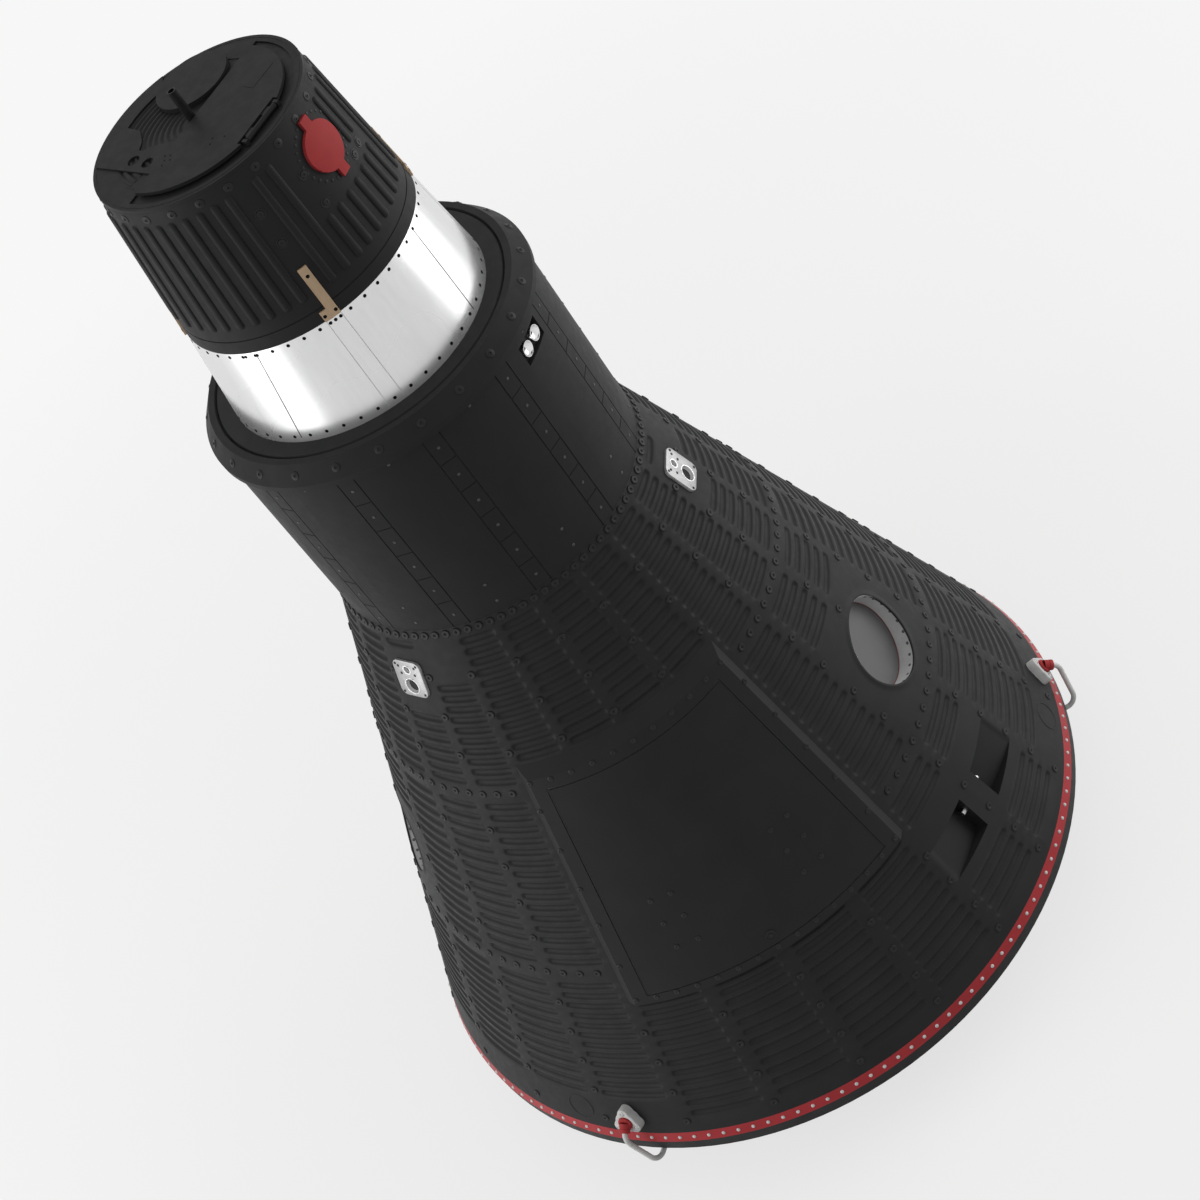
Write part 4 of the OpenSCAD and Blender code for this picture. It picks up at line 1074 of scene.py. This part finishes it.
# ---- top deck details ----------------------------------------------------------------
def block_between(p, q, width, z0, z1):
    """A straight bar with bevelled top edges between two points of the deck."""
    p, q = Vector((*p, 0)), Vector((*q, 0))
    d = (q - p).normalized()
    n = Vector((-d.y, d.x, 0))
    verts = []
    for z, inset in ((z0, 0.0), (z1 - 0.6, 0.0), (z1, 0.6)):
        for a, s in ((p, -1), (q, -1), (q, 1), (p, 1)):
            along = d * (inset if a is p else -inset)
            verts.append(Vector(a) + along + n * s * (width / 2 - inset) + Vector((0, 0, z)))
    verts = [tuple(v * MM) for v in verts]
    return verts, [(3, 2, 1, 0), (8, 9, 10, 11)] + quads(2, 4)


def arc_band(r0, r1, a0, a1, z0, z1, steps=48):
    """Part of a flat ring with upright sides, angles in degrees."""
    t = np.radians(np.linspace(a0, a1, steps + 1))
    verts = []
    for r, z in ((r0, z0), (r0, z1), (r1, z1), (r1, z0)):
        verts += [(r * MM * math.cos(a), r * MM * math.sin(a), z * MM) for a in t]
    n = steps + 1
    faces = [(i * n + k, ((i + 1) % 4) * n + k, ((i + 1) % 4) * n + k + 1, i * n + k + 1)
             for i in range(4) for k in range(steps)]
    faces += [(0, n, 2 * n, 3 * n)[::-1], (steps, n + steps, 2 * n + steps, 3 * n + steps)]
    return verts, faces


def row_xy(x, y):
    """A row-frame point from deck measures in mm: Y along the reference meridian, X 90 on from it."""
    a = math.radians(REFERENCE_AZ)
    return (y * math.cos(a) - x * math.sin(a), y * math.sin(a) + x * math.cos(a))


b = Builder()
b.add(*arc_band(ANTENNA_TOP_R - 9, ANTENNA_TOP_R - 7.4, 0, 360, TOP_Z - 0.3, TOP_Z + 0.5, 120))
b.add(*arc_band(198, 200, 96, 207, TOP_Z - 0.3, TOP_Z + 0.6, 60))
b.add(*block_between(row_xy(130, -140), row_xy(155, -105), 7, TOP_Z - 0.5, TOP_Z + 1.6))
b.make("deck_trim", [skin], sharp=35, slot="upper_skin")


def prism(points, z0, z1, bevel=0.6):
    """Closed plate on the deck from an outline, its upper edge slightly bevelled."""
    c = np.mean(points, axis=0)
    n = len(points)
    verts = []
    for z, inset in ((z0, 0.0), (z1 - bevel, 0.0), (z1, bevel)):
        for p in points:
            d = np.array(p) - c
            q = np.array(p) - d / np.linalg.norm(d) * inset
            verts.append((q[0] * MM, q[1] * MM, z * MM))
    faces = [tuple(range(n))[::-1], tuple(2 * n + k for k in range(n))]
    return verts, faces + quads(2, n)


def pin(at, radius, z0, z1, n=40):
    t = [2 * math.pi * k / n for k in range(n)]
    verts = [((at[0] + radius * math.cos(a)) * MM, (at[1] + radius * math.sin(a)) * MM, z * MM)
             for z in (z0, z1) for a in t]
    return verts, [tuple(range(n))[::-1], tuple(range(n, 2 * n))] + quads(1, n)


PORTS, PORT_R = ((-155, 3), (-129, -38)), 14.5
PLATE_RISE = 4.0
FLAP_DIR = np.array([math.cos(math.radians(FLAP_AZ)), math.sin(math.radians(FLAP_AZ))])


def clear_of_flap(p, margin=6.5):
    """Moves a point square on to the line just behind the flap's straight edge."""
    p = np.array(p, float)
    return p - FLAP_DIR * (p @ FLAP_DIR + margin)


def arc_points(r, a0, a1, n):
    return [np.array([math.cos(a), math.sin(a)]) * r for a in np.radians(np.linspace(a0, a1, n))]


tip = np.array(row_xy(-219, -82))
tip_az = math.degrees(math.atan2(tip[1], tip[0]))
outline = [clear_of_flap(row_xy(-139, 70)), tip, *arc_points(250, tip_az, 97, 22)[1:]]
outline += arc_points(199, 102, 136, 16)
outline += [np.array(row_xy(*p)) for p in ((-108, -111), (-112, -90), (-117, -66), (-128, -50), (-133, -42),
                                           (-126, -30), (-112, -26))]
outline.append(clear_of_flap(row_xy(-80, -22)))
upper = carved("port_plate", prism(outline, TOP_Z - 0.5, TOP_Z + PLATE_RISE, 0.5),
               [pin(p, PORT_R, 2900, 3000) for p in PORTS])
under = [clear_of_flap(row_xy(-136, 66)), np.array(row_xy(-214, -80)), *arc_points(180, 160, 150, 3),
         np.array(row_xy(-126, -30)), clear_of_flap(row_xy(-80, -22))]
lower = carved("port_plate_under", prism(under, TOP_Z - 6.5, TOP_Z - 1.6, 0.5),
               [pin(p, PORT_R, 2900, 3000) for p in PORTS])
b = Builder()
b.add(*upper)
b.add(*lower)
# black discs at the foot of the two ports: painted shade for the dark inside the holes
for x, y in PORTS:
    b.add(*pin((x, y), PORT_R - 0.2, TOP_Z - 6.9, TOP_Z - 6.0), material=1)
b.make("port_plate", [skin, black_marks_and_hole_shade], sharp=35, slot="upper_skin")

RIDGE_PITCH, RIDGE_H, RIDGE_FOOT = 15.0, 3.4, TOP_Z - 2.6
r = np.linspace(37, 195, 118)
a = np.radians(np.linspace(100.5, 202.5, 86))
rise = RIDGE_FOOT + RIDGE_H * (0.5 + 0.5 * np.cos(2 * math.pi * (r - 45) / RIDGE_PITCH)) ** 0.8
verts = [(q * MM * math.cos(t), q * MM * math.sin(t), z * MM) for t in a for q, z in zip(r, rise)]
make("ridge_bed", verts, quads(len(a) - 1, len(r), closed=False), [skin], sharp=0, slot="upper_skin")

FLAP_TOP = 2967.137
PIN_HEAD = rings([(2.4, -0.2), (2.0, 0.35)], 8)
b = Builder()
for p, q in (((120, 20), (133, 50)), ((133, 50), (198, 15))):
    b.add(*block_between(row_xy(*p), row_xy(*q), 1.6, FLAP_TOP - 0.4, FLAP_TOP + 0.35))
b.make("flap_lines", [black_marks_and_hole_shade], body="flap", sharp=35, slot="upper_skin")
b = Builder()
for x, y in ((-5, 132), (6, 118), (-100, 70), (-90, 82), (-84, 68), (-94, 56), (28, 142), (-110, 80)):
    px, py = row_xy(x, y)
    b.add(*PIN_HEAD, matrix=Matrix.Translation((px * MM, py * MM, FLAP_TOP * MM)))
b.make("flap_rivets", [black_marks_and_hole_shade], body="flap", sharp=40, slot="upper_skin")

# ---- couch cushion -------------------------------------------------------------------
COUCH_LINE = [(-440, 50), (-330, 0), (60, 0), (260, 250), (330, 260), (470, 120)]
COUCH_Z, COUCH_W, COUCH_T = 419.637, 520.0, 50.0


def cushion():
    """Padded lining along the couch's bent line: crowned, quilted, with its edges pulled in."""
    pts = np.array(COUCH_LINE, float)
    seg = np.r_[0, np.cumsum(np.hypot(*np.diff(pts, axis=0).T))]
    s = np.linspace(0, seg[-1], 121)
    x, z = np.interp(s, seg, pts[:, 0]), np.interp(s, seg, pts[:, 1])
    w = np.ones(9) / 9
    xs = np.convolve(np.pad(x, 4, "edge"), w, "valid")
    zs = np.convolve(np.pad(z, 4, "edge"), w, "valid")
    nx, nz = -np.gradient(zs), np.gradient(xs)
    ln = np.hypot(nx, nz)
    nx, nz = nx / ln, nz / ln
    u = np.linspace(-1, 1, 65)
    channels = [k * seg[-1] / 11 for k in range(1, 11)]
    verts = []
    for top in (0, 1):
        for i in range(len(s)):
            end = min(s[i], seg[-1] - s[i]) / 60.0
            end = 1 - (1 - min(end, 1)) ** 2.4
            pull = 0.94 + 0.05 * end
            for k in u:
                side = 1 - abs(k) ** 5
                seam = min(abs(s[i] - c) for c in channels) / 9.0
                seam = 1 - 0.24 * math.exp(-seam * seam)
                mid = 1 - 0.16 * math.exp(-((abs(k) - 0.5) * 32.0) ** 2)
                crown = (0.12 + 0.80 * side * end) * (seam * mid if top else 1.0)
                level = 0.5 + 0.5 * crown if top else 0.5 - 0.5 * min(crown * 1.1, 1.0)
                t = 2.0 + (COUCH_T - 5) * level
                y = k * COUCH_W / 2 * pull
                verts.append(((xs[i] + nx[i] * t) * MM, y * MM, (COUCH_Z + zs[i] + nz[i] * t) * MM))
    n, m = len(u), len(s)
    faces = []
    for i in range(m - 1):
        for k in range(n - 1):
            a = i * n + k
            faces.append((a, a + 1, a + n + 1, a + n))
            c = a + m * n
            faces.append((c + n, c + n + 1, c + 1, c))
    for i in range(m - 1):
        for a in (i * n, i * n + n - 1):
            f = (a, a + n, a + n + m * n, a + m * n)
            faces.append(f if a == i * n else f[::-1])
    for k in range(n - 1):
        for a in (k, (m - 1) * n + k):
            f = (a, a + m * n, a + m * n + 1, a + 1)
            faces.append(f if a == k else f[::-1])
    o = make("couch_cushion", verts, faces, [couch_pad], sharp=0, replaces=["couch"], slot="couch_pad")


cushion()

# ---- carried-over nodes --------------------------------------------------------------
FINISH = {
    "shield_ring": shingle, "heat_shield": ablator, "base_ring": red_paint, "hatch_frame": hatch_skin,
    "hatch": hatch_skin, "side_window_frame": tunnel_grey, "head_window_frame": tunnel_grey,
    "side_window_pane": pane_grey, "head_window_pane": pane_grey, "roll_jets": metal,
    "cabin_floor": cabin_paint, "forward_bulkhead": cabin_paint, "couch_frame": metal,
    "instrument_panel": cabin_paint, "equipment_racks": cabin_paint, "hand_controllers": plastic,
    "clamp_flange": skin, "bright_band": band_metal, "top_deck": skin, "flap_hinge": skin, "flap": skin,
    "air_data_tube": plastic, "round_cover": skin, "scanner_cover": red_cover,
    "antenna_brackets": tan_metal, "cable_clips": ablator,
}
for cad_node, finish in FINISH.items():
    o = bpy.data.objects[cad_node]
    for s in o.material_slots:
        s.material = finish
    o.data.polygons.foreach_set("use_smooth", [True] * len(o.data.polygons))
    o.data.set_sharp_from_angle(angle=math.radians(30))

# ---- light, floor and world ----------------------------------------------------------

def area(name, at, aim, size, watts):
    data = bpy.data.lights.new(name, "AREA")
    data.shape, data.size, data.size_y, data.energy = "RECTANGLE", size[0], size[1], watts
    o = bpy.data.objects.new(name, data)
    scene.collection.objects.link(o)
    o.location = at
    o.rotation_euler = (Vector(aim) - Vector(at)).to_track_quat("-Z", "Y").to_euler()


area("left_softbox", (-5.5, -1.5, 1.8), (0, 0, 1.3), (4.5, 5.5), 175)
area("right_softbox", (5.5, 0.5, 1.8), (0, 0, 1.3), (4.5, 5.5), 175)

FLOOR_SIDE, FLOOR_Z = 60.0, -0.002
# distance from the axis, in metres, over which the floor passes into the backdrop
FLOOR_FADE = (1.8, 5.2)
FLOOR_GLOW, BACKDROP, AMBIENT = 0.68, 0.93, 0.40


def floor_material():
    """Pale matt floor that keeps the object's shadow; its own glow is seen and lights nothing."""
    m, nt, bsdf, co = node_material("floor")
    reach = node(nt, "VectorMath", {0: co}, operation="LENGTH")
    fade = remap(nt, reach.outputs["Value"], 0.0, 1.0, *FLOOR_FADE)
    shade = ramp(nt, noise(nt, co, 0.6, 2.0), [(0.3, (0.30, 0.30, 0.30)), (0.7, (0.31, 0.31, 0.31))])
    pale = node(nt, "Mix", {}, data_type="RGBA")
    feed(nt, pale, {"Factor": fade, "A": shade, "B": (0, 0, 0, 1)})
    glow = remap(nt, fade, FLOOR_GLOW, BACKDROP, 0.0, 1.0)
    feed(nt, bsdf, {
        "Base Color": pale.outputs["Result"], "Roughness": 0.9, "Specular IOR Level": 0.0,
        "Emission Color": (1, 1, 1, 1),
        "Emission Strength": node(nt, "Math", {0: seen_rays(nt), 1: glow}, operation="MULTIPLY").outputs[0],
    })
    return m


floor_mesh = bpy.data.meshes.new("floor")
half = FLOOR_SIDE / 2
floor_mesh.from_pydata(
    [(-half, -half, FLOOR_Z), (half, -half, FLOOR_Z), (half, half, FLOOR_Z), (-half, half, FLOOR_Z)],
    [], [(0, 1, 2, 3)],
)
floor_mesh.materials.append(floor_material())
floor = bpy.data.objects.new("floor", floor_mesh)
scene.collection.objects.link(floor)

world = bpy.data.worlds.new("studio")
scene.world = world
world.use_nodes = True
wn = world.node_tree
wn.nodes.clear()
plain = node(wn, "Background", {"Color": (1, 1, 1, 1), "Strength": AMBIENT})
seen = node(wn, "Background", {"Color": (BACKDROP, BACKDROP, BACKDROP, 1)})
mixed = node(wn, "MixShader", {0: seen_rays(wn), 1: plain.outputs[0], 2: seen.outputs[0]})
node(wn, "OutputWorld", {0: mixed.outputs[0]})

scene.view_settings.view_transform = "Standard"

bpy.context.view_layer.update()
